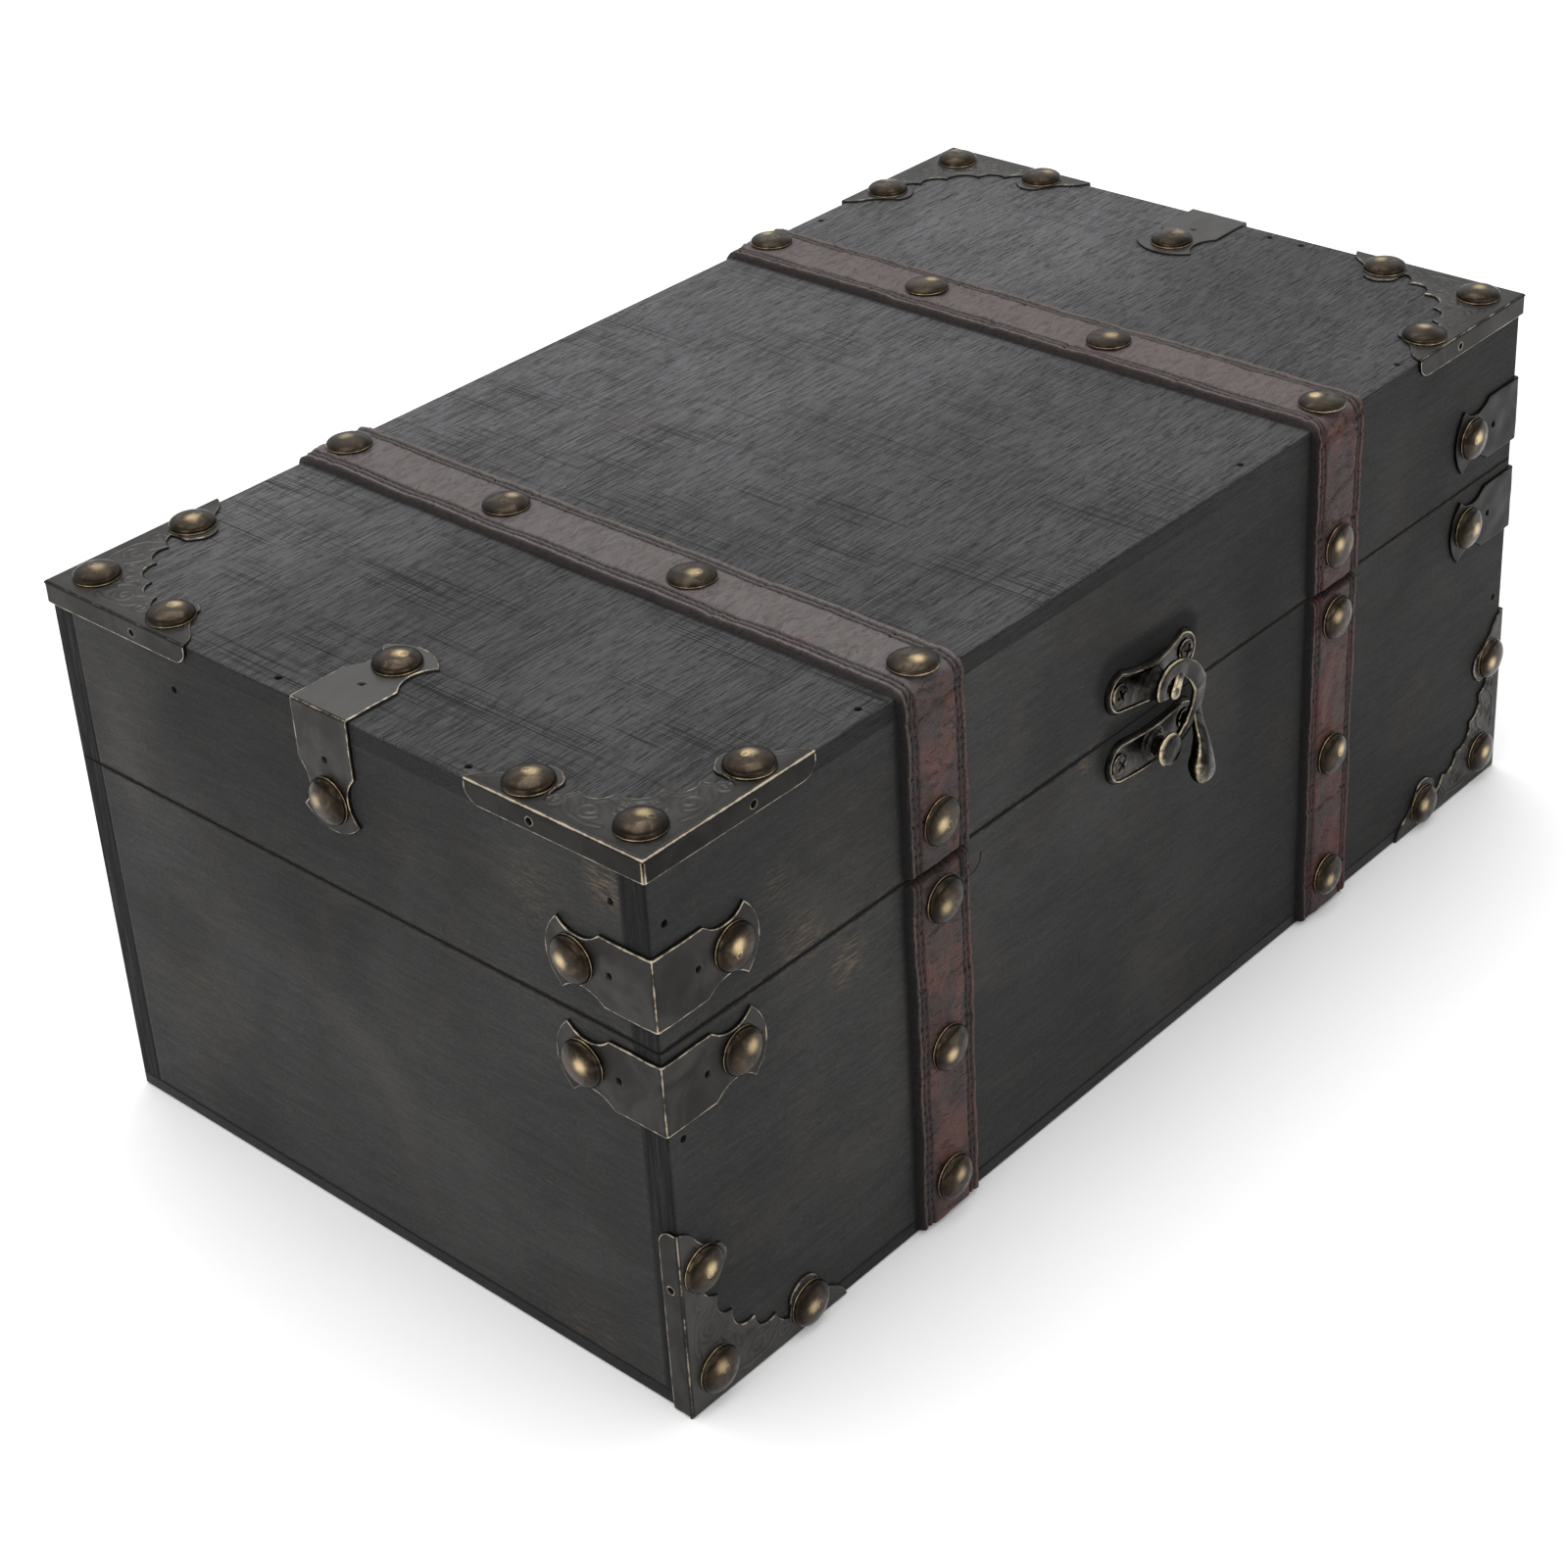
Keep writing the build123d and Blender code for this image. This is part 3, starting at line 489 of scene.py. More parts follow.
def gatheredDirtAndShade(tree, place, axes, fromLine, outer, board):
    # dirt in the parting line and over the floor board, and painted shade beside the straps and at the named
    # places
    chipped = wobble(tree, place, 0.5, 1.6)
    dirtAndShade = fade(tree, plus(tree, fromLine, chipped), 0.45, 1.0, stain["lineDirt"])
    # painted shade on the wood beside each strap, where its shadow falls
    for low, high in strapSides:
        away = minus(tree, unsigned(tree, minus(tree, axes[0], (low + high) / 2)), (high - low) / 2)
        beside = fade(tree, away, 0.0, stain["strapReach"], stain["strapShade"])
        dirtAndShade = most(tree, dirtAndShade, times(tree, outer, beside))
    joint = unsigned(tree, plus(tree, minus(tree, axes[2], floorBoard), times(tree, chipped, 0.4)))
    dirtAndShade = most(tree, dirtAndShade, fade(tree, joint, 0.2, 0.7, stain["floorDirt"]))
    # painted shade at the board's listed places
    for spot, halfLong, reach, amount in board["shaded"]:
        # distance to a level line that runs halfLong either way from the spot
        beyond = most(tree, minus(tree, unsigned(tree, minus(tree, axes[0], spot[0])), halfLong), 0.0)
        away = vectors(tree, "LENGTH", joined(tree, beyond, minus(tree, axes[1], spot[1]),
                                              minus(tree, axes[2], spot[2])))
        dirtAndShade = most(tree, dirtAndShade, times(tree, outer, fade(tree, away, 0.5 * reach, reach, amount)))
    return dirtAndShade


def woodMaterial(name, board):
    # stained board: its own tones and dashes, then saw lines, rubbed places, dirt with painted shade, and the
    # seams at its ends
    material, tree, shader, place = newMaterial(name, {"Specular IOR Level": 0.24})
    axes = apart(tree, place)
    grain = turnedBy(tree, place, board["turn"])
    fromEnd = minus(tree, halfLength, unsigned(tree, axes[0]))
    fromSide = minus(tree, halfWidth, unsigned(tree, axes[1]))
    fromLine = unsigned(tree, minus(tree, axes[2], parting))
    atEnd = fade(tree, fromEnd, 0.2, 0.6)
    outer = most(tree, fade(tree, fromSide, 0.2, 0.6), span(tree, axes[2], lidTop - 0.6, lidTop - 0.2))
    outer = most(tree, outer, atEnd)
    tone, colour, height = boardTone(tree, grain, board)
    colour, height = sawLines(tree, place, axes[0], board, colour, height)
    wear = rubbedWood(tree, place, grain, fromLine, board)
    colour = blendColour(tree, wear, colour, stain["worn"])
    dirtAndShade = gatheredDirtAndShade(tree, place, axes, fromLine, outer, board)
    colour = blendColour(tree, dirtAndShade, colour, stain["black"])
    if not board["seamed"]:
        # the top board's stain is painted lighter for the light and sheen on the top face, so its own edges,
        # and the floor board, are multiplied down to the sides' darkness
        edges = fade(tree, axes[2], lidTop - 0.55, lidTop - 0.15)
        colour = blendColour(tree, edges, colour, stain["edge"], "MULTIPLY")
    if board["endGrain"]:
        # the front and back boards show their ends on the left and right faces, dark and fibrous
        onEnd = times(tree, atEnd, fade(tree, fromSide, seamAt - 0.2, seamAt + 0.2))
        lines = noise(tree, stretched(tree, place, (1, 1.3, 0.04)), 1.3, 5.0, 0.75)
        black = times(tree, onEnd, span(tree, lines, 0.36, 0.56, 0.3, 1.0))
        colour = blendColour(tree, black, colour, stain["black"])
        dirtAndShade = most(tree, dirtAndShade, black)
        height = plus(tree, height, times(tree, times(tree, onEnd, lines), stain["endDepth"]))
    if board["seamed"]:
        # a ragged dark seam where the end board meets the front and back boards
        away = unsigned(tree, plus(tree, minus(tree, fromSide, seamAt), wobble(tree, place, 0.35, 0.9)))
        seam = times(tree, fade(tree, away, 0.15, 0.65), fade(tree, fromEnd, 0.3, 0.7))
        colour = blendColour(tree, times(tree, seam, stain["seamDirt"]), colour, stain["black"])
        height = minus(tree, height, times(tree, seam, stain["seamDepth"]))
    plug(tree, colour, shader.inputs["Base Color"])
    rough = plus(tree, span(tree, tone, 0.25, 0.8, 0.66, 0.5), times(tree, dirtAndShade, 0.3))
    plug(tree, rough, shader.inputs["Roughness"])
    bumpTo(tree, shader, height, board["fibre"])
    return material


def dressWood():
    # top and bottom boards are stained alike, and so are front and back, and the two ends
    stained = {name: woodMaterial(name, board) for name, board in boards.items()}
    for name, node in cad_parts.items():
        if not name.endswith("_panel"):
            continue
        kind = "stainedEnd"
        if "top" in name or "bottom" in name:
            kind = "stainedTopPaintedLight"
        elif "front" in name or "back" in name:
            kind = "stainedLongSide"
        setMaterial(node, stained[kind])
    print("wood dressed")


def setMaterial(node, material):
    for place in node.material_slots:
        place.material = material
    if not node.material_slots:
        node.data.materials.append(material)


# Metal

metal = {
    "bronzeDark": (0.021, 0.019, 0.017, 1), "bronzeGrey": (0.038, 0.036, 0.033, 1),
    "bronzeBright": (0.52, 0.44, 0.33, 1), "bronzeDustAndSheen": (0.110, 0.108, 0.106, 1),
    "brassDark": (0.030, 0.023, 0.016, 1), "brassGrey": (0.070, 0.053, 0.037, 1),
    "brassGold": (0.66, 0.50, 0.28, 1),
    "latchDark": (0.013, 0.012, 0.011, 1), "latchGrey": (0.050, 0.046, 0.040, 1),
    "latchGold": (0.60, 0.50, 0.34, 1), "sootAndShade": (0.002, 0.002, 0.002, 1),
}
# ground, cloud and bright colours (the bright one for rubbed edges and painted highlights), the clouds' size,
# roughness of cloud and ground, break-up of the bright edges and height of the cast surface
finishes = {
    "pressedBronze": ("bronzeDark", "bronzeGrey", "bronzeBright", 14.0, (0.36, 0.44), 0.35, 0.02),
    "tackBrass": ("brassDark", "brassGrey", "brassGold", 4.0, (0.20, 0.36), 0.2, 0.012),
    "latchBronze": ("latchDark", "latchGrey", "latchGold", 5.0, (0.20, 0.33), 0.2, 0.03),
    "hingeBrass": ("brassDark", "brassGrey", "brassGold", 6.0, (0.28, 0.45), 0.3, 0.03),
    "nailSteel": ("sootAndShade", "latchDark", "latchGrey", 2.0, (0.45, 0.65), 0.3, 0.03),
}


def metalMaterial(name, golden=False):
    # antique finish: dark ground, cloudy lighter patches, bright edges that are partly rubbed metal and
    # partly painted highlight, and soot with painted shade in the holes
    ground, cloud, bright, size, (smooth, dull), breakUp, castHeight = finishes[name]
    material, tree, shader, place = newMaterial(name, {"Metallic": 1.0})
    tone = attribute(tree, "tone")
    cloudy = useGroup(tree, tarnish, {"Vector": place, "Size": size, "Shift": times(tree, tone, 40.0)})
    rubAndHighlight = useGroup(tree, wornEdgeAndHighlight,
                   {"Vector": place, "Edge": attribute(tree, "edge"), "Break": breakUp})["RubAndHighlight"]
    colour = blendColour(tree, cloudy["Cloud"], metal[ground], metal[cloud])
    if golden:
        # a golden place on each dome, worn brass and painted highlight, its strength different from dome to
        # dome
        broken = times(tree, noise(tree, place, 1.1, 4.0, 0.7, 0.4), 0.5)
        worn = span(tree, plus(tree, attribute(tree, "spot"), broken), 0.35, 1.35)
        share = times(tree, worn, plus(tree, 0.5, times(tree, tone, 0.5)))
        colour = blendColour(tree, share, colour, metal["brassGold"])
    else:
        # dust and a painted sky sheen lighten the faces marked by tone: legs that face up and the bracket
        # plates
        colour = blendColour(tree, tone, colour, metal["bronzeDustAndSheen"])
    colour = blendColour(tree, times(tree, cloudy["Speck"], 0.3), colour, metal[ground])
    # bright edges: rubbed metal and painted highlight
    colour = blendColour(tree, rubAndHighlight, colour, metal[bright])
    # soot and painted shade in the holes, recesses and undersides
    colour = blendColour(tree, attribute(tree, "grimeAndShade"), colour, metal["sootAndShade"])
    plug(tree, colour, shader.inputs["Base Color"])
    rough = span(tree, cloudy["Cloud"], 0.0, 1.0, dull, smooth)
    plug(tree, minus(tree, rough, times(tree, rubAndHighlight, 0.08)), shader.inputs["Roughness"])
    bumpTo(tree, shader, cloudy["Height"], castHeight)
    return material


pressedBronze = metalMaterial("pressedBronze")
tackBrass = metalMaterial("tackBrass", golden=True)
latchBronze = metalMaterial("latchBronze")
hingeBrass = metalMaterial("hingeBrass")
nailSteel = metalMaterial("nailSteel")


# Pressed corner brackets

corner = {
    "leg": 50.0, "sheet": 0.8, "flange": 5.0, "endRound": 4.3, "slit": 0.5, "rimRound": 0.3,
    "lidPin": 31.0, "basePin": 34.0, "pinRadius": 0.85, "pinDepth": 0.7,
    # relief, as shares of its height: a ridge along each line with a groove beside it, a line inside the rim,
    # and unevenness; bells as (share, place, width)
    "reliefHeight": 0.22, "ridgeWidth": 0.34, "groove": (0.35, 0.75, 0.4), "rimLine": (0.35, 1.5, 0.35),
    "uneven": 0.10, "unevenWave": 4.0,
    # the outline from the tip, arc by arc: a point it goes through, its end, and its end's place on the fold
    "arcShares": (((0.966, 0.058), (0.930, 0.088), 0.92), ((0.868, 0.135), (0.806, 0.240), 0.80),
                  ((0.742, 0.270), (0.674, 0.245), 0.72), ((0.640, 0.213), (0.636, 0.165), 0.68),
                  ((0.632, 0.138), (0.626, 0.112), 0.64), ((0.588, 0.132), (0.544, 0.200), 0.46),
                  ((0.466, 0.194), (0.409, 0.280), 0.24)),
    "middleShare": 0.307,
    # spirals as (along, across, outer radius, start degrees, turns), and stems as through points
    "spirals": ((20.5, 6.2, 2.9, 200, 1.35), (28.5, 4.6, 2.0, 30, -1.2), (15.8, 11.4, 1.7, 120, 1.1)),
    "stems": (((14.6, 3.0), (17.5, 2.2), (21.5, 2.4), (25.0, 3.4), (27.5, 6.4), (31.5, 8.0)),
              ((23.2, 7.4), (25.5, 8.9), (29.0, 9.6), (32.0, 10.6)),
              ((15.6, 8.2), (17.2, 9.8), (20.0, 10.6), (23.5, 9.8)),
              ((0.9, 6.4), (1.6, 10.4), (4.2, 13.6), (8.0, 14.9), (11.2, 14.4))),
    "fanAt": (13.4, 13.4), "fanSpread": 62, "fanRays": 4, "fanReach": (1.3, 4.3),
    # painted shade near the fold and over the flange, the fold's bright line (rubbed, and painted as a
    # highlight), and dust with a painted sheen on the flat, from bracket to bracket
    "looks": {"lid_front_left": (0.6, 1.0, 0.25), "lid_front_right": (0.5, 0.55, 0.5),
              "lid_back_right": (0.4, 0.3, 0.6), "lid_back_left": (0.5, 0.35, 0.45),
              "base_left": (0.08, 0.5, 0.35), "base_right": (0.3, 0.5, 0.15)},
}


def cornerOutline():
    # half the scalloped outline, arcs end to end from the tip to the diagonal, and each point's place on the
    # fold that its ruled line starts from
    leg = corner["leg"]
    start, fold, rows, folds = (leg, 0.0), leg, [], []
    for through, end, foldShare in corner["arcShares"]:
        through, end = [(a * leg, b * leg) for a, b in (through, end)]
        count = 8 + int(50 * np.hypot(end[0] - start[0], end[1] - start[1]) / leg) * 2
        rows.append(arcPoints(start, through, end, count)[:-1])
        folds.append(np.linspace(fold, foldShare * leg, count)[:-1])
        start, fold = end, foldShare * leg
    middle = (corner["middleShare"] * leg,) * 2
    whole = arcPoints(start, middle, start[::-1], 41)
    rows.append(whole[:21])
    folds.append(np.linspace(fold, 0, 21))
    return np.vstack(rows), np.concatenate(folds)


def ornamentLines():
    # the ornament on one side of the diagonal: spirals whose radius shrinks evenly with the turn, stems, and
    # half the fan's rays
    lines = []
    for along, across, radius, start, turns in corner["spirals"]:
        t = np.linspace(0, 1, 60)
        bend, reach = radians(start) + 2 * pi * turns * t, radius * (1 - 0.8 * t)
        lines.append(np.stack([along + reach * np.cos(bend), across + reach * np.sin(bend)], -1))
    lines += [smoothLine(stem, 40) for stem in corner["stems"]]
    for bend in np.linspace(0, corner["fanSpread"], corner["fanRays"]):
        heading = np.array([cos(radians(45 - bend)), sin(radians(45 - bend))])
        near, far = corner["fanReach"]
        lines.append(np.array(corner["fanAt"]) + heading * np.linspace(near, far, 16)[:, None])
    return lines


def scrollRelief(u, v, inset):
    # height of the ornament: a bell-shaped ridge along each line, faded out at rim and fold
    high, low = np.maximum(u, v), np.minimum(u, v)
    away = np.full(u.shape, 9.0)
    for line in ornamentLines():
        for start in range(0, len(line), 20):
            some = line[start:start + 20]
            reach = np.hypot(high[..., None] - some[:, 0], low[..., None] - some[:, 1]).min(-1)
            away = np.minimum(away, reach)
    groove, *grooveBell = corner["groove"]
    rimLine, *rimBell = corner["rimLine"]
    ridge = bell(away, 0, corner["ridgeWidth"]) - groove * bell(away, *grooveBell)
    ridge = ridge + rimLine * bell(inset, *rimBell)
    ridge = ridge + corner["uneven"] * ripple(high, low, 3, corner["unevenWave"])
    nearRim = 1 - np.exp(-np.maximum(inset - 0.3, 0) / 0.5)
    nearFold = 1 - np.exp(-np.maximum(low - 0.8, 0) / 0.9)
    return ridge * nearRim * nearFold


def cornerHalf(shade, gleam):
    # one half of the plate: ruled lines from the fold to the outline, the fold a quarter round
    leg, sheet = corner["leg"], corner["sheet"]
    outline, foldAt = cornerOutline()
    share = 1 - foldAt / leg
    turn = np.linspace(pi / 2, 0, 7)
    fold = np.stack([leg + (-sheet * np.sin(turn)[None] - leg) * share[:, None],
                     np.broadcast_to(-sheet * np.sin(turn), (len(share), 7)),
                     np.broadcast_to(sheet * np.cos(turn), (len(share), 7))], -1)
    width = np.hypot(outline[:, 0] - foldAt, outline[:, 1])
    inset = np.minimum(corner["rimRound"], 0.45 * width)
    part = (inset / np.maximum(width, 1e-6))[:, None]
    t = np.linspace(0, 1, 66)[None, 1:] * (1 - part)
    start = np.stack([foldAt, 0 * foldAt], -1)
    flat = start[:, None] + (outline - start)[:, None] * t[..., None]
    away = width[:, None] * (1 - t)
    ridge = scrollRelief(flat[..., 0], flat[..., 1], away)
    plate = np.concatenate([flat, (sheet + corner["reliefHeight"] * ridge)[..., None]], -1)
    bend = np.linspace(0, pi / 2, 5)[None, 1:]
    edge = start[:, None] + (outline - start)[:, None] * (1 - part + part * np.sin(bend))[..., None]
    rim = np.concatenate([edge, (sheet - inset[:, None] * (1 - np.cos(bend)))[..., None]], -1)
    foot = np.concatenate([outline, np.full((len(outline), 1), sunk)], -1)[:, None]
    rows = np.concatenate([fold, plate, rim, foot], 1)
    # columns: seven round the fold, the flat sheet, and the rounded rim
    onFlat, onRim = slice(7, 72), slice(72, 76)
    # edge: a painted highlight along the fold's crest and inside the rim, with bright worn ridges on the
    # relief
    glow = np.zeros(rows.shape[:2])
    glow[:, :9] = np.interp(np.arange(9), (0, 1, 2, 3, 4, 5), (0.0, 0.15, 0.6, 1.0, 0.5, 0.0)) * gleam
    glow[:, onFlat] += 0.12 * np.clip(ridge, 0, 1)
    glow[:, onFlat] = np.maximum(glow[:, onFlat], (0.35 + 0.45 * gleam) * bell(away, 0.22, 0.2))
    glow[:, onRim] = 0.3 + 0.3 * gleam
    # grime: soot in the relief's grooves, painted shade near the fold, and painted shade on the fold's
    # side-facing part
    sootAndShade = np.zeros(rows.shape[:2])
    near = np.minimum(flat[..., 0], flat[..., 1])
    sootAndShade[:, onFlat] = np.clip(0.3 * np.clip(-ridge * 3, 0, 1) + 0.85 * shade * np.exp(-near / 3.0), 0, 1)
    sootAndShade[:, :3] = np.array([0.6, 0.3, 0.0])
    return rows, glow, sootAndShade


def cornerFlange(shade, pin):
    # one flange: a flat strip with a rounded end, its pin hole pressed in as a steep dimple. The hole is
    # painted black for its shade, with a painted highlight round it and along the lower rim, and painted
    # shade over the rest
    sheet, leg, endRound = corner["sheet"], corner["leg"], corner["endRound"]
    u = np.unique(np.concatenate([
        np.linspace(corner["slit"] - sheet, leg, 90), np.linspace(pin - 1.5, pin + 1.5, 25),
        leg - endRound * (1 - np.sin(np.linspace(0, pi / 2, 14)))]))
    curve = np.clip(u - (leg - endRound), 0, endRound)
    depth = corner["flange"] - (endRound - np.sqrt(np.maximum(endRound ** 2 - curve ** 2, 0)))
    bend = np.linspace(0, pi / 2, 5)[1:]
    down = np.concatenate([np.linspace(0, 0.94, 30), 0.94 + 0.06 * np.sin(bend)])
    out = np.concatenate([np.full(30, -sheet), -sheet + 0.25 * (1 - np.cos(bend))])
    w = -depth[:, None] * down[None]
    reach = np.hypot(u[:, None] - pin, w + corner["flange"] / 2)
    hole = np.clip((corner["pinRadius"] - reach) / 0.25, 0, 1)
    v = out + hole * corner["pinDepth"]
    face = np.stack([np.broadcast_to(u[:, None], w.shape), v, w], -1)
    back = np.stack([np.broadcast_to(u[:, None], (len(u), 2)), np.full((len(u), 2), -sunk),
                     np.stack([-depth, 0 * depth], -1)], -1)
    fromRim = np.minimum(depth[:, None] + w, (leg - u)[:, None])
    bright = bell(fromRim, 0.2, 0.18) + bell(u[:, None], u[0], 0.3)
    glow = withBack(np.maximum(0.75 * bright, 0.8 * bell(reach, 1.05, 0.2)))
    sootAndShade = withBack(np.maximum(hole, shade * np.clip(1 - bright, 0, 1)))
    return capRows(np.concatenate([face, back], 1)), capValues(glow), capValues(sootAndShade)


def cornerBracket(name, origin, u, v):
    # the plate's two halves share the diagonal, and each has its flange
    shade, gleam, dustAndSheen = corner["looks"][name.replace("corner_bracket_", "")]
    body = bodyOf(name)
    half, glow, dirtAndShade = cornerHalf(shade, gleam)
    strip, stripGlow, sootAndShade = cornerFlange(shade, corner[body + "Pin"])
    w = np.cross(u, v)
    shape = newShape()
    for a, b in ((u, v), (v, u)):
        plate = toPlace(half, origin, a, b, w)
        facing = np.zeros((len(plate) + 1, plate.shape[1]))
        facing[:, 6:76] = dustAndSheen
        addGrid(shape, np.concatenate([drawnIn(plate[:1]), plate]), tone=facing,
                edge=np.concatenate([glow[:1], glow]), grimeAndShade=np.concatenate([dirtAndShade[:1], dirtAndShade]))
        addGrid(shape, toPlace(strip, origin, a, b, w), edge=stripGlow, grimeAndShade=sootAndShade)
    makePiece(name + "_pressed", shape, pressedBronze, body, (name,), 50)


def makeCorners():
    x, y = halfLength * axisX, halfWidth * axisY
    top, foot = lidTop * axisZ, corner["sheet"] * axisZ
    cornerBracket("lid_corner_bracket_front_left", -x - y + top, axisX, axisY)
    cornerBracket("lid_corner_bracket_front_right", x - y + top, axisY, -axisX)
    cornerBracket("lid_corner_bracket_back_right", x + y + top, -axisX, -axisY)
    cornerBracket("lid_corner_bracket_back_left", -x + y + top, -axisY, axisX)
    cornerBracket("base_corner_bracket_left", -x - y + foot, axisX, axisZ)
    cornerBracket("base_corner_bracket_right", x - y + foot, axisZ, -axisX)
    print("corner brackets made:", len(corner["looks"]))


# Angle straps with fish-tail ends

angle = {
    "leg": 30.2, "width": 18.0, "sheet": 0.8, "rimRound": 0.28, "pinAlong": 12.0, "pinRadius": 0.85,
    "pinDepth": 0.65, "dustAndSheen": 0.65,
    # the tail, as shares of leg and half width: a step, the neck's start, middle and end, and the cheek
    "tailShares": ((0.468, 1.0), (0.52, 0.86), (0.66, 0.70), (0.868, 1.0), (0.955, 0.60)),
    # painted shade all over (on the right angle straps, where the light falls off) and the edges' bright
    # line, rubbed and painted as a highlight, from strap to strap
    "looks": {"angle_left": (0.0, 0.75), "angle_right": (0.8, 0.45), "end_left": (0.0, 0.7),
              "end_right": (0.0, 0.3)},
}


def angleStrap(name, origin, u, v):
    # one grid over both legs: its width follows the fish tail, and the fold is a quarter round
    shade, gleam = angle["looks"][name.split("_", 1)[1].replace("strap_", "")]
    leg, half, sheet, rimRound = angle["leg"], angle["width"] / 2, angle["sheet"], angle["rimRound"]
    step, stepEnd, neck, horn, cheek = [(a * leg, b * half) for a, b in angle["tailShares"]]
    line = np.vstack([[(0, half)], [step], arcPoints(stepEnd, neck, horn, 16),
                      arcPoints(horn, cheek, (leg, 0.0), 22)[1:]])
    pin = angle["pinAlong"]
    along = np.unique(np.round(np.concatenate([
        np.linspace(0, leg, 60), line[:, 0], np.linspace(pin - 1.4, pin + 1.4, 23)]), 3))
    wide = np.interp(along, line[:, 0], line[:, 1])[:, None]
    share, side, drop = sheetSection(4, 41)
    b = np.maximum(wide - rimRound, 0) * share + np.minimum(rimRound, wide) * side
    reach = np.hypot(along[:, None] - pin, b)
    hole = np.clip((angle["pinRadius"] - reach) / 0.25, 0, 1)
    lift = sheet - rimRound * drop - hole * angle["pinDepth"]
    lift = lift + 0.05 * ripple(along[:, None] + 0 * b, b, len(name), 9.0)
    rim = np.minimum(wide - np.abs(b), (leg - along)[:, None])
    # edge: a painted highlight with wear along the rim and round the pin hole; the pin hole painted black for
    # its shade
    glow = gleam * bell(np.maximum(rim, 0), 0.22, 0.2)
    glow = withBack(np.maximum(glow, 0.3 * bell(reach, 1.1, 0.2)))
    sootAndShade = withBack(np.maximum(hole, shade))
    b = np.concatenate([b, wide, -wide], 1)
    lift = withBack(lift, sunk)
    w = np.cross(u, v)
    # leg along u lies on the face whose outward normal is -v, and the other leg mirrors it
    one = origin + along[:, None, None] * u - lift[..., None] * v + b[..., None] * w
    other = origin + along[:, None, None] * v - lift[..., None] * u + b[..., None] * w
    turn = np.linspace(0, pi / 2, 7)[1:-1, None, None]
    fold = origin - lift[:1, :, None] * (np.sin(turn) * u + np.cos(turn) * v) + b[:1, :, None] * w
    # a painted highlight along the fold's crest
    crest = np.maximum(glow[:1], np.array([0.0, 0.3, 0.62, 0.3, 0.0])[:, None])
    glows = np.concatenate([glow[::-1], crest, glow])
    sootAndShadeRows = np.concatenate([sootAndShade[::-1], np.zeros((5, sootAndShade.shape[1])), sootAndShade])
    # dust and a painted sky sheen lighten a leg that faces up
    facing = np.concatenate([np.full(len(one), -v[2]), np.zeros(5), np.full(len(other), -u[2])])
    facing = angle["dustAndSheen"] * np.maximum(facing, 0)[:, None] + 0 * glows
    shape = newShape()
    addGrid(shape, capRows(np.concatenate([one[::-1], fold, other])), edge=capValues(glows),
            grimeAndShade=capValues(sootAndShadeRows), tone=capValues(facing))
    makePiece(name + "_pressed", shape, pressedBronze, bodyOf(name), (name,), 50)


def makeAngles():
    for body in ("lid", "base"):
        for side, sign, u, v in (("left", -1, axisX, axisY), ("right", 1, axisY, -axisX)):
            name = f"{body}_angle_strap_{side}"
            low, high = nodeBox(name)
            origin = sign * halfLength * axisX - halfWidth * axisY + (low[2] + high[2]) / 2 * axisZ
            angleStrap(name, origin, u, v)
    for side, sign in (("left", -1), ("right", 1)):
        # one leg runs down the end and the other runs in over the top
        origin = sign * halfLength * axisX + lidTop * axisZ
        angleStrap(f"lid_end_strap_{side}", origin, -axisZ, -sign * axisX)
    print("angle straps made: 6")


# Domed tacks

tack = {
    "radius": 5.45, "spread": 0.35, "height": 2.65, "strapHeight": 1.8, "rim": 0.42, "lip": 0.12,
    # pull and shoulder shape the dome's superellipse, and each tack leans by up to tilt
    "pull": 0.62, "shoulder": 0.92, "tilt": 0.02,
    "dent": 0.05, "dentWave": 5.5, "ringDepth": 0.08, "ringOften": 0.45, "goldSpread": 0.10,
}


def tackFrames(node):
    # each tack's seat centre and outward normal, read from the frame: the head is the wide end of its solid
    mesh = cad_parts[node].data
    points = np.zeros(len(mesh.vertices) * 3, np.float32)
    mesh.vertices.foreach_get("co", points)
    points = points.reshape(-1, 3).astype(float) / mm
    seats, normals = [], []
    while len(points):
        # one solid: every point within reach of the first
        near = np.linalg.norm(points - points[0], axis=1) < 2.4 * tack["radius"]
        own, points = points[near], points[~near]
        low, high = own.min(0), own.max(0)
        along = int(np.argmin(high - low))
        centre = (low + high) / 2
        flat = np.delete(own - centre, along, 1)
        wide = own[np.hypot(*flat.T) > 0.97 * tack["radius"], along]
        sign = 1.0 if high[along] - wide.mean() < wide.mean() - low[along] else -1.0
        centre[along] = wide.min() if sign > 0 else wide.max()
        seats.append(centre)
        normals.append(sign * np.eye(3)[along])
    return np.array(seats), np.array(normals)


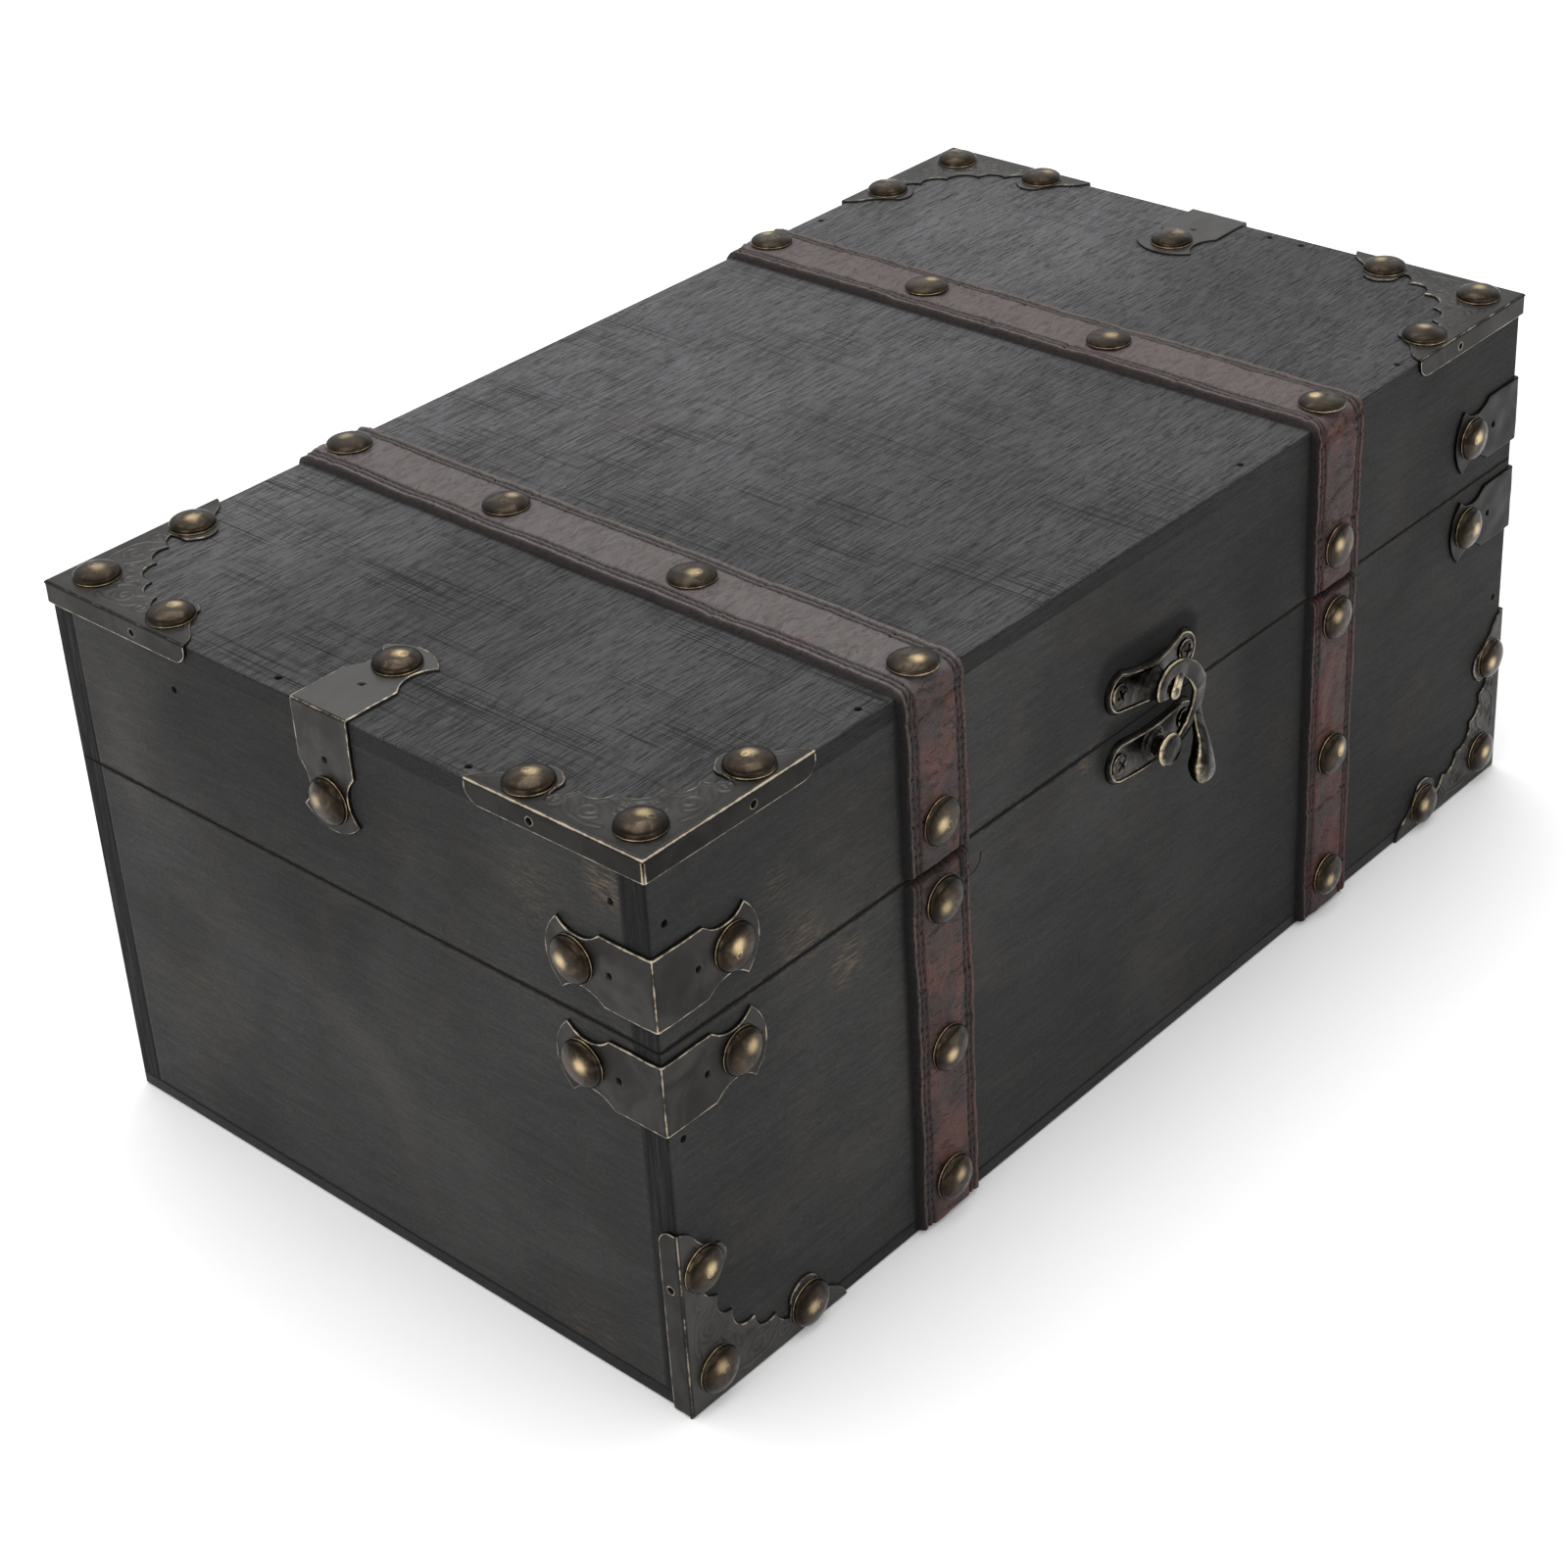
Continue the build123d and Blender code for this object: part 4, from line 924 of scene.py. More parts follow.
def makeTacks(node, seed):
    # dome: a superellipse of revolution on a thin rim, with soft dents, a golden place that is worn brass and
    # painted highlight, and on some a struck ring
    seats, normals = tackFrames(node)
    draw = np.random.default_rng(seed)
    radius, lip, rim = tack["radius"] + tack["spread"], tack["lip"], tack["rim"]
    height = tack["strapHeight" if "strap_tacks" in node else "height"]
    turn = fullTurn(48)
    bend = np.linspace(0, pi / 2, 27)[:, None]
    lipTurn = np.linspace(0, pi, 6)[1:, None]
    reach = np.concatenate([(radius - lip) * np.sin(bend) ** tack["shoulder"],
                            radius - lip + lip * np.sin(lipTurn), [[radius - 0.6]], [[0.0]]])
    rise = np.concatenate([rim + (height - rim) * np.cos(bend) ** (1 / (2 * tack["pull"])),
                           rim / 2 + rim / 2 * np.cos(lipTurn), [[0.0]], [[0.0]]])
    x, y = reach * np.cos(turn), reach * np.sin(turn)
    # a bright line at the turned lip: painted reflection of the floor
    rubAndHighlight = np.broadcast_to(np.interp(np.arange(len(reach)), (24, 26, 28, 30), (0.0, 0.1, 0.7, 0.1))[:, None],
                          x.shape)
    # painted shade on the dome's shoulder, darkest just inside the rim
    dark = np.broadcast_to(np.interp(reach, (0.45 * radius, 0.9 * radius, 0.99 * radius), (0.0, 0.62, 0.2)),
                           x.shape)
    shape = newShape()
    for seat, normal in zip(seats, normals):
        dents = tack["dent"] * ripple(x, y, int(draw.integers(1e6)), tack["dentWave"], 5)
        dents = dents * np.cos(np.clip(reach / radius, 0, 1) * pi / 2)
        ringAt, ringSize = draw.uniform(-0.3, 0.3, 2) * radius, draw.uniform(0.7, 1.0)
        ring = bell(np.hypot(x - ringAt[0], y - ringAt[1]), ringSize, 0.16)
        ring = ring * (draw.uniform() < tack["ringOften"])
        z = rise + (dents - tack["ringDepth"] * ring) * (rise > rim)
        u = np.cross(axisZ if abs(normal[2]) < 0.5 else axisX, normal)
        v = np.cross(normal, u)
        spin = draw.uniform(0, 2 * pi)
        a, b = u * cos(spin) + v * sin(spin), -u * sin(spin) + v * cos(spin)
        tilt = normal + draw.uniform(-tack["tilt"], tack["tilt"]) * a
        # the golden place, worn brass and painted highlight, lies a little off the crown
        offU, offV = draw.uniform(-0.45, 0.25), draw.uniform(-0.1, 0.45)
        across, up = x * cos(spin) - y * sin(spin), x * sin(spin) + y * cos(spin)
        off = (across / radius - offU) ** 2 + (up / radius - offV) ** 2
        gold = np.exp(-off / tack["goldSpread"]) + 0.4 * ring
        local = np.stack([x, y + 0 * x, z + 0 * x], -1)
        addGrid(shape, toPlace(local, seat, a, b, tilt), edge=rubAndHighlight, grimeAndShade=dark * (rise > 0),
                tone=draw.uniform(), spot=gold)
    makePiece(node + "_domes", shape, tackBrass, bodyOf(node), (node,), 60)


def makeAllTacks():
    nodes = sorted(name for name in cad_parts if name.endswith("_tacks"))
    for seed, name in enumerate(nodes, 100):
        makeTacks(name, seed)
    print("tack groups made:", len(nodes))


# Leather straps

strap = {
    "body": 2.15, "crown": 0.12, "edgeRound": 0.62, "foldIn": 1.8, "step": 0.7, "endRound": 1.0,
    "stitchInsets": (2.0, 3.35), "grooveDepth": 0.60, "grooveWidth": 0.42, "stitchPitch": 2.45,
    "stitchLength": 2.1, "threadRadius": 0.42, "stitchSkew": 0.16, "stitchStart": 4.2,
    # unevenness: sideways, of the width, as soft puffs and as fine grain
    "wander": 0.16, "widen": 0.012, "puff": 0.12, "grain": 0.06,
    "creaseDepth": 0.36, "creaseWidth": 0.5, "creasePitch": 13, "edgeCreases": 7,
    "tackDip": 0.28, "tackReach": 5.6,
    # lines worn pale beside the grooves: how far in, how wide, and how pale
    "wornLines": ((1.05, 0.22, 1.0), (2.65, 0.2, 0.5)),
}
hide = {
    "dark": (0.0045, 0.0028, 0.0024, 1), "brown": (0.040, 0.019, 0.014, 1), "red": (0.085, 0.024, 0.015, 1),
    "dustAndSheen": (0.110, 0.100, 0.100, 1), "lip": (0.105, 0.055, 0.042, 1), "thread": (0.0035, 0.003, 0.003, 1),
    "rightShade": (0.75, 0.16, 0.10, 1),
}


def leatherMaterial():
    # waxed hide: a dark ground, red-brown down the sides, dust and a painted sheen on top, with a pale lip
    # and dark creases
    material, tree, shader, place = newMaterial("strapLeather", {"Specular IOR Level": 0.34})
    edge = attribute(tree, "edge")
    grimeAndShade = attribute(tree, "grimeAndShade")
    tone = attribute(tree, "tone")
    drawn = stretched(tree, place, (1.0, 0.45, 0.45))
    crossed = stretched(tree, place, (0.35, 1.0, 1.0))
    cells = addNode(tree, "TexVoronoi", {"feature": "DISTANCE_TO_EDGE"},
                    {"Vector": place, "Scale": 1.2}).outputs["Distance"]
    pebble = span(tree, cells, 0.0, 0.16)
    creased = noise(tree, crossed, 0.8, 6.0, 0.68, 1.6)
    wrinkle = noise(tree, crossed, 0.42, 3.0, 0.6, 2.2)
    cloud = noise(tree, drawn, 0.13, 4.0, 0.6, 0.8)
    colour = blendColour(tree, span(tree, creased, 0.36, 0.62), hide["dark"], hide["brown"])
    reddish = times(tree, span(tree, cloud, 0.40, 0.62), span(tree, tone, 0.2, 0.9, 0.75, 0.10))
    colour = blendColour(tree, reddish, colour, hide["red"])
    # dust and a painted sheen on the parts that face up
    dustAndSheenShare = times(tree, span(tree, tone, 0.1, 0.9, 0.05, 0.66),
                 span(tree, noise(tree, crossed, 0.6, 5.0, 0.7, 0.8), 0.34, 0.60, 0.5, 1.0))
    colour = blendColour(tree, dustAndSheenShare, colour, hide["dustAndSheen"])
    pale = times(tree, edge, span(tree, noise(tree, place, 0.5, 4.0, 0.7), 0.38, 0.62, 0.05, 0.7))
    colour = blendColour(tree, pale, colour, hide["lip"])
    # painted shade over the right strap, redder, and weaker on its top
    colour = blendColour(tree, attribute(tree, "spot"), colour, hide["rightShade"], "MULTIPLY")
    lined = times(tree, span(tree, wrinkle, 0.44, 0.34), span(tree, tone, 0.3, 0.9, 0.8, 0.3))
    colour = blendColour(tree, lined, colour, hide["dark"])
    # grime: painted shade in the grooves and on the side walls, and black underneath
    colour = blendColour(tree, grimeAndShade, colour, hide["dark"])
    plug(tree, colour, shader.inputs["Base Color"])
    rough = plus(tree, span(tree, creased, 0.3, 0.7, 0.38, 0.58), times(tree, grimeAndShade, 0.3))
    plug(tree, rough, shader.inputs["Roughness"])
    height = plus(tree, times(tree, pebble, 0.3), creased)
    height = plus(tree, height, times(tree, span(tree, wrinkle, 0.34, 0.44), 0.8))
    bumpTo(tree, shader, times(tree, height, span(tree, tone, 0.3, 0.9, 1.5, 0.5)), 0.24)
    return material


def threadMaterial():
    # waxed thread: dark, with the twist as fine slanted bands
    material, tree, shader, place = newMaterial("waxedThread", {"Roughness": 0.55})
    twist = addNode(tree, "TexWave", {"bands_direction": "DIAGONAL"},
                    {"Vector": place, "Scale": 1.6, "Distortion": 0.4})
    colour = blendColour(tree, twist.outputs["Fac"], hide["thread"], hide["dark"])
    plug(tree, colour, shader.inputs["Base Color"])
    bumpTo(tree, shader, twist.outputs["Fac"], 0.05)
    return material


strapLeather, waxedThread = leatherMaterial(), threadMaterial()


def bentPath(corners, bend):
    # a line in the YZ plane with each corner rounded by a quarter circle: its lengths, places and headings
    places, headings = [], []
    corners = np.asarray(corners, float)
    start = corners[0]
    for index in range(1, len(corners)):
        heading = unit(corners[index] - corners[index - 1])
        last = index == len(corners) - 1
        stop = corners[index] if last else corners[index] - heading * bend
        count = max(int(np.linalg.norm(stop - start) / 0.2), 2)
        places.append(np.linspace(start, stop, count, endpoint=False))
        angleHere = np.arctan2(heading[1], heading[0])
        headings.append(np.full(count, angleHere))
        if last:
            places.append(stop[None])
            headings.append([angleHere])
            break
        turn = np.linspace(0, pi / 2, 24, endpoint=False)
        inward = np.array([heading[1], -heading[0]])
        centre = stop + inward * bend
        places.append(centre + bend * (-inward * np.cos(turn)[:, None] + heading * np.sin(turn)[:, None]))
        headings.append(angleHere - turn)
        start = centre + bend * heading
    places, headings = np.concatenate(places), np.concatenate(headings)
    lengths = np.concatenate([[0], np.cumsum(np.linalg.norm(np.diff(places, axis=0), axis=1))])
    return lengths, places, headings


def alongPath(path, s):
    # place, outward normal and heading of the path at lengths s, as points of the chest
    lengths, places, headings = path
    y, z, turn = (np.interp(s, lengths, row) for row in (places[:, 0], places[:, 1], headings))
    zero = np.zeros_like(y)
    place = np.stack([zero, y, z], -1)
    normal = np.stack([zero, -np.sin(turn), np.cos(turn)], -1)
    heading = np.stack([zero, np.cos(turn), np.sin(turn)], -1)
    return place, normal, heading


def pathLengthAt(path, point):
    # length along the path nearest to a point of the chest
    away = np.hypot(path[1][:, 0] - point[1], path[1][:, 1] - point[2])
    return path[0][int(np.argmin(away))]


def strapTop(across, s, width, seed, tacks, creases):
    # height of the leather: round edges, a crown, two sewn grooves a side, creases, and dips under the tacks
    inset = width / 2 - np.abs(across)
    solid = np.clip(inset / strap["edgeRound"], 0, 1)
    height = strap["body"] * np.sqrt(1 - (1 - solid) ** 2)
    height = height + strap["crown"] * np.clip(1 - (2 * across / width) ** 4, 0, 1)
    for at in strap["stitchInsets"]:
        height = height - strap["grooveDepth"] * bell(inset, at, strap["grooveWidth"])
    height = height + solid * strap["puff"] * ripple(across * 1.6, s, seed, 14.0)
    height = height + solid * strap["grain"] * ripple(across, s, seed + 1, 3.6, 9)
    for at, slant, deep in creases:
        line = s - at - slant * across - 0.5 * np.sin(across * 0.8 + at)
        height = height - solid * deep * strap["creaseDepth"] * bell(line, 0, strap["creaseWidth"])
    for at in tacks:
        reach = np.hypot(across, s - at)
        height = height - strap["tackDip"] * solid * np.exp(-(reach / strap["tackReach"]) ** 4)
    return height


def strapDrift(s, seed):
    # how far the strap wanders sideways along its length, and how its width changes
    return (strap["wander"] * ripple(s, 0 * s, seed + 2, 30.0),
            1 + strap["widen"] * ripple(s, 0 * s, seed + 3, 18.0))


def strapCreases(path, draw):
    # creases as (length along the path, slant, depth): some anywhere, and more where the hide turns over
    length = path[0][-1]
    creases = [(draw.uniform(4, length - 4), draw.uniform(-0.35, 0.35), draw.uniform(0.3, 1.0))
               for number in range(int(length / strap["creasePitch"]))]
    folds = np.flatnonzero(np.abs(np.diff(path[2])) > 0.01)
    if len(folds):
        for at in (path[0][folds[0]], path[0][folds[-1]]):
            creases += [(at + draw.uniform(-4.5, 4.5), draw.uniform(-0.5, 0.5), draw.uniform(0.5, 1.1))
                        for number in range(strap["edgeCreases"])]
    return creases


def makeSkin(name, path, centre, width, seed, topHeight, rightShade):
    # one closed tube: the section is carried along the path and rounded down at both ends
    length = path[0][-1]
    s = np.unique(np.concatenate([np.linspace(0, length, int(length / strap["step"])),
                                  np.linspace(0, 1.2, 6), length - np.linspace(0, 1.2, 6)]))
    half = np.unique(np.round(np.concatenate([np.linspace(0, 0.6, 9), np.linspace(0.6, 0.86, 13),
                                              np.linspace(0.86, 1, 11)]), 4))
    across = np.concatenate([-half[:0:-1], half]) * width / 2
    grid, line = np.meshgrid(s, across, indexing="ij")
    ends = np.clip(np.minimum(s, length - s) / strap["endRound"], 0, 1)
    height = topHeight(line, grid) * np.sqrt(1 - (1 - ends) ** 2)[:, None]
    place, normal = alongPath(path, s)[:2]
    drift, widened = strapDrift(s, seed)
    sideways = centre + drift[:, None] + line * widened[:, None]
    top = place[:, None] + normal[:, None] * height[..., None] + axisX * sideways[..., None]
    under = place[:, None] + sunk * normal[:, None] * (ends > 0)[:, None, None]
    under = under + axisX * sideways[:, -2:0:-1, None]
    inset = width / 2 - np.abs(line)
    groove = sum(bell(inset, at, strap["grooveWidth"]) for at in strap["stitchInsets"])
    level = np.broadcast_to(np.abs(normal[:, 2:3]), line.shape)
    side = np.clip((0.75 - inset) / 0.25, 0, 1)
    # worn pale lines beside the grooves; the side walls painted paler where the strap runs over the top
    worn = sum(pale * bell(inset, at, wide) for at, wide, pale in strap["wornLines"])
    worn = worn + 0.22 * side * level
    # painted shade in the grooves and on the side walls, lighter where the strap runs over the top
    dark = np.clip(0.9 * groove + side * (1 - 0.35 * level), 0, 1)
    back = np.zeros((len(s), len(across) - 2))
    shape = newShape()
    # spot: painted shade over the right strap, less on its top
    addGrid(shape, np.concatenate([top, under], 1), edge=np.concatenate([worn, back], 1),
            grimeAndShade=np.concatenate([dark, back + 1], 1), tone=np.concatenate([level, back], 1),
            spot=np.concatenate([rightShade * (0.5 - 0.35 * level), back], 1))
    makePiece(name + "_leather", shape, strapLeather, bodyOf(name), (name,), 70)


def makeStitches(name, path, centre, width, seed, topHeight, draw):
    # short ellipsoids laid along each groove, each a little skewed
    first, last = strap["stitchStart"], path[0][-1] - strap["stitchStart"]
    count = int((last - first) / strap["stitchPitch"])
    at = np.linspace(first, last, count)
    ring = fullTurn(6)
    bend = np.linspace(0, pi, 6)[:, None]
    long = strap["stitchLength"] / 2 * np.cos(bend) + 0 * ring
    thick = strap["threadRadius"] * np.sqrt(np.maximum(np.sin(bend), 0))
    sewn = newShape()
    for inset in strap["stitchInsets"]:
        for sign in (-1, 1):
            here = np.full(count, sign * (width / 2 - inset))
            shifted = at + draw.uniform(-0.15, 0.15, count)
            lift = topHeight(here, shifted) + 0.04
            place, normal, heading = alongPath(path, shifted)
            drift, widened = strapDrift(shifted, seed)
            middle = place + normal * lift[:, None] + axisX * (here * widened + drift + centre)[:, None]
            skew = strap["stitchSkew"] + draw.uniform(-0.08, 0.08, count)[:, None]
            run = heading + skew * axisX
            points = middle[:, None, None] + run[:, None, None] * long[None, ..., None]
            points = points + normal[:, None, None] * (thick * np.cos(ring))[None, ..., None]
            points = points + axisX * (thick * np.sin(ring))[None, ..., None]
            addGrid(sewn, points)
    makePiece(name + "_stitches", sewn, waxedThread, bodyOf(name), (), 80)


def makeStrap(name, tackNode, corners, seed, rightShade):
    low, high = nodeBox(name)
    centre, width = (low[0] + high[0]) / 2, high[0] - low[0]
    path = bentPath(corners, strap["foldIn"])
    draw = np.random.default_rng(seed)
    creases = strapCreases(path, draw)
    # the dips lie under this strap's own tacks
    tacks = [pathLengthAt(path, seat) for seat in tackFrames(tackNode)[0] if abs(seat[0] - centre) < 5]

    def topHeight(across, s):
        return strapTop(across, s, width, seed, tacks, creases)

    makeSkin(name, path, centre, width, seed, topHeight, rightShade)
    makeStitches(name, path, centre, width, seed, topHeight, draw)


looseEnd = {
    "radius": 0.22,
    "line": ((-71.2, -97.3, 97.0), (-71.6, -97.8, 94.6), (-72.2, -98.0, 92.2), (-71.4, -98.6, 91.4),
             (-69.6, -99.0, 91.8), (-67.6, -99.0, 93.4), (-66.4, -98.6, 95.4)),
}


def looseThread():
    # the end of a sewing thread that curls out at the left strap's joint: a thin tube along a smooth line
    line = smoothLine(looseEnd["line"], 60)
    ahead = unit(np.gradient(line, axis=0))
    side = unit(np.cross(ahead, axisY))
    lift = np.cross(side, ahead)
    turn = fullTurn(8)[..., None]
    ring = line[:, None] + looseEnd["radius"] * (np.cos(turn) * side[:, None] + np.sin(turn) * lift[:, None])
    shape = newShape()
    addGrid(shape, capRows(ring))
    makePiece("base_strap_front_left_loose_thread", shape, waxedThread, "base", (), 80)


def makeStraps():
    # the right strap gets painted shade, where the light falls off towards the right
    for side, seed, rightShade in (("left", 11, 0.0), ("right", 31, 1.0)):
        foot = nodeBox(f"lid_strap_{side}")[0][2]
        corners = ((-halfWidth, foot), (-halfWidth, lidTop), (halfWidth, lidTop), (halfWidth, foot))
        makeStrap(f"lid_strap_{side}", "lid_strap_tacks", corners, seed, rightShade)
        for face, sign in (("front", -1), ("back", 1)):
            name = f"base_strap_{face}_{side}"
            low, high = nodeBox(name)
            ends = ((sign * halfWidth, low[2]), (sign * halfWidth, high[2]))
            # the path runs up the front and down the back
            makeStrap(name, f"base_strap_{face}_tacks", ends[::-sign], seed + 5 + sign, rightShade)
    looseThread()
    print("leather straps made: 6")


# Latch

latch = {
    "plate": 1.2, "lobe": 5.9, "along": 11.7, "rimRound": 1.0, "rimBead": 0.45, "beadInset": 1.05,
    "hookDip": 2.7, "hookBulge": 1.4, "keeperDip": 1.1, "keeperBulge": 0.9, "offset": 1.2,
    "hookPlateRise": 10.8, "keeperPlateDrop": 8.1, "pivotRise": 7.7, "studDrop": 8.6,
    "hookBoss": 5.2, "keeperBoss": 2.4, "rampReach": 4.6, "rampShare": 0.36,
    "hookLevel": 5.3, "armLevel": 2.7, "hookThick": 2.0,
    "screwAlong": 13.0, "screwRadius": 2.7, "screwHeight": 0.7, "screwSink": 0.15,
    "slotHalf": 0.50, "slotReach": 1.9, "slotDepth": 0.65, "hookSpins": (20, 65), "keeperSpins": (40, 10),
    # turned pieces as (radius, height), the stud over the arm and the rivet over the hook, with a bright rim,
    # rubbed and painted as a highlight, by radius
    "stud": ((0.0, 2.5), (1.6, 2.4), (3.3, 1.95), (4.0, 1.3), (4.25, 0.8), (3.9, 0.25), (3.0, 0.02),
             (2.1, 0.0), (2.0, -1.0)), "studFoot": (2.0, 2.0),
    "studRubAndHighlight": ((2.6, 3.7, 4.2), (0.05, 0.4, 0.85)),
    "rivet": ((0.0, 0.55), (0.7, 0.5), (1.2, 0.3), (1.45, 0.05), (1.4, 0.0), (1.0, 0.0), (1.0, -1.5)),
    "rivetFoot": (1.0, 4.0), "rivetRubAndHighlight": ((0.5, 1.1, 1.45), (0.3, 0.5, 0.7)),
    # centre lines as (across, up, half width) from the pivot, in the order that the metal runs
    "curl": ((-4.0, -1.0, 1.4), (-4.3, 1.2, 1.8), (-3.4, 3.5, 1.9), (-1.5, 4.9, 2.0), (1.2, 5.3, 2.1),
             (4.7, 4.15, 2.3), (8.3, 1.3, 2.5), (10.9, -2.7, 2.6), (12.2, -7.2, 2.5), (12.3, -11.2, 2.2),
             (10.9, -14.2, 1.7), (7.4, -16.6, 1.4), (4.2, -18.4, 1.2), (1.6, -19.5, 1.1),
             (-0.6, -19.8, 1.0)),
    "lug": ((0.1, -2.4, 1.2), (0.4, -0.8, 1.75), (1.2, 1.0, 1.65), (2.4, 2.6, 1.5), (3.9, 3.9, 1.4)),
    # the tail adds its half thickness and how far it stands out from the arm
    "tail": ((12.5, -8.0, 1.6, 1.0, 0.6), (12.9, -12.0, 1.5, 1.05, 0.5), (13.0, -15.6, 1.6, 1.2, 1.0),
             (12.6, -18.8, 2.1, 1.6, 2.2), (11.2, -21.8, 3.2, 2.2, 3.6), (9.5, -24.4, 4.3, 2.6, 4.8),
             (7.9, -26.8, 4.0, 2.4, 5.6), (7.2, -28.0, 2.9, 1.7, 6.0)),
}


def latchPoint(x, up, depth):
    # across from the latch's middle, up from the parting line, out from the wood
    return np.stack([latch["offset"] + x, -halfWidth - depth, parting + up + 0 * x], -1)


def plateEdge(x, dip, bulge):
    # upper and lower edge of a two-lobed plate: arcs between the lobes, circles round them
    lobe, along = latch["lobe"], latch["along"]
    ends = np.sqrt(np.maximum(lobe ** 2 - np.maximum(np.abs(x) - along, 0) ** 2, 0))
    inside = np.clip(1 - (np.abs(x) / along) ** 2, 0, 1)
    return ends - dip * inside, -ends - bulge * inside


def latchPlate(name, body, rise, dip, bulge, bossDrop, bossHeight):
    # plate: lines across between its two edges, a rounded rim with a bead inside it, and a ramp to the boss
    lobe, along, thick, rimRound = latch["lobe"], latch["along"], latch["plate"], latch["rimRound"]
    bend = np.linspace(0, pi / 2, 26)
    x = np.concatenate([-along - lobe * np.cos(bend)[:-1], np.linspace(-along, along, 90),
                        along + lobe * np.sin(bend)[1:]])[:, None]
    upper, lower = plateEdge(x, dip, bulge)
    middle, half = (upper + lower) / 2, (upper - lower) / 2
    share, side, drop = sheetSection(5, 51)
    inward = np.minimum(rimRound, half)
    y = middle + (half - inward) * share + inward * side
    beyond = np.abs(x) - along
    rim = np.where(beyond > 0, lobe - np.hypot(beyond, y), half - np.abs(y - middle))
    lift = thick - rimRound * drop + latch["rimBead"] * (bell(rim, latch["beadInset"], 0.42) - 1)
    fromEnd = np.maximum(lobe + along - np.abs(x), 0)
    lift = lift * np.sqrt(1 - (1 - np.clip(fromEnd / rimRound, 0, 1)) ** 2 * 0.6)
    fromBoss = np.hypot(x, y + bossDrop)
    ramp = latch["rampShare"] * (bossHeight - thick) * np.exp(-(fromBoss / latch["rampReach"]) ** 2.4)
    lift = lift + ramp * np.clip(rim / 0.7, 0, 1)
    fromScrew = np.hypot(np.abs(x) - latch["screwAlong"], y)
    # dirt and painted shade in the ring round each screw head, and painted shade on the plate's rounded side
    dirtAndShade = np.maximum(0.8 * bell(fromScrew, 3.0, 0.45), 0.85 * np.clip((0.8 - rim) / 0.3, 0, 1))
    # a painted highlight along the bead
    glow = 0.66 * bell(rim, latch["beadInset"], 0.24)
    y = np.concatenate([y, upper, lower], 1)
    rows = latchPoint(x + 0 * y, rise + y, withBack(lift, sunk))
    shape = newShape()
    addGrid(shape, capRows(rows), edge=capValues(withBack(glow)),
            grimeAndShade=capValues(withBack(dirtAndShade)))
    # the boss, turned: (radius, height) from its foot to its flat top
    tall = bossHeight - thick
    profile = smoothLine([(4.6, thick - 0.25), (4.1, thick + 0.12 * tall), (3.5, thick + 0.36 * tall),
                          (3.1, thick + 0.70 * tall), (2.95, bossHeight - 0.25), (2.6, bossHeight),
                          (0.0, bossHeight)], 40)
    turn = fullTurn(60)
    rows = latchPoint(profile[:, :1] * np.cos(turn), rise - bossDrop + profile[:, :1] * np.sin(turn),
                      profile[:, 1:] + 0 * turn)
    # a painted highlight round the boss's top edge; the boss a little darker all over
    glow = np.interp(profile[:, 0], (2.2, 2.7, 3.1), (0.1, 0.5, 0.0))
    addGrid(shape, np.concatenate([drawnIn(rows[:1]), rows]), grimeAndShade=0.25,
            edge=np.broadcast_to(np.concatenate([[0], glow])[:, None], (len(glow) + 1, 60)))
    makePiece(name + "_cast", shape, latchBronze, body, (name,), 50)


def sweptBar(shape, path, depth, thick, ends=0.75, gleam=0.0):
    # a flat bar carried along a centre line of (across, up, half width), both its ends rounded off
    x, y, half = path.T
    point = latchPoint(x, latch["pivotRise"] + y, depth)
    heading = unit(np.gradient(point, axis=0))
    side = unit(np.cross(np.broadcast_to(-axisY, point.shape), heading))
    lift = np.cross(heading, side)
    turn = fullTurn(36)
    # section: a superellipse, nearly flat on its face with round shoulders
    a = np.sign(np.cos(turn)) * np.abs(np.cos(turn)) ** 0.74
    b = np.sign(np.sin(turn)) * np.abs(np.sin(turn)) ** 0.82
    steps = np.concatenate([[0], np.cumsum(np.linalg.norm(np.diff(point, axis=0), axis=1))])
    taper = np.clip(np.minimum(steps, steps[-1] - steps) / (ends * half), 0, 1)
    taper = np.sqrt(np.maximum(1 - (1 - taper) ** 2, 0.0))[:, None]
    wide = (half[:, None] * taper * a)[..., None] * side[:, None]
    tall = (np.reshape(thick, (-1, 1)) * np.maximum(taper, 0.2) * b)[..., None] * lift[:, None]
    ring = point[:, None] + wide + tall
    # edge: a painted highlight on the face's shoulders and rounded ends, and over the face where gleam is
    # given; grime: painted shade on the side towards the wood
    glow = np.clip((np.abs(a) - 0.72) / 0.22, 0, 1) * np.clip(b * 2.2, 0, 1) * np.ones(ring.shape[:2])
    glow = np.maximum(0.64 * np.maximum(glow, 0.8 * (1 - taper)),
                      gleam * np.clip(b * 2, 0, 1) * np.ones(ring.shape[:2]))
    dirtAndShade = np.broadcast_to(np.clip(-b * 1.2, 0, 0.7), ring.shape[:2])
    addGrid(shape, capRows(ring), edge=capValues(glow), grimeAndShade=capValues(dirtAndShade))


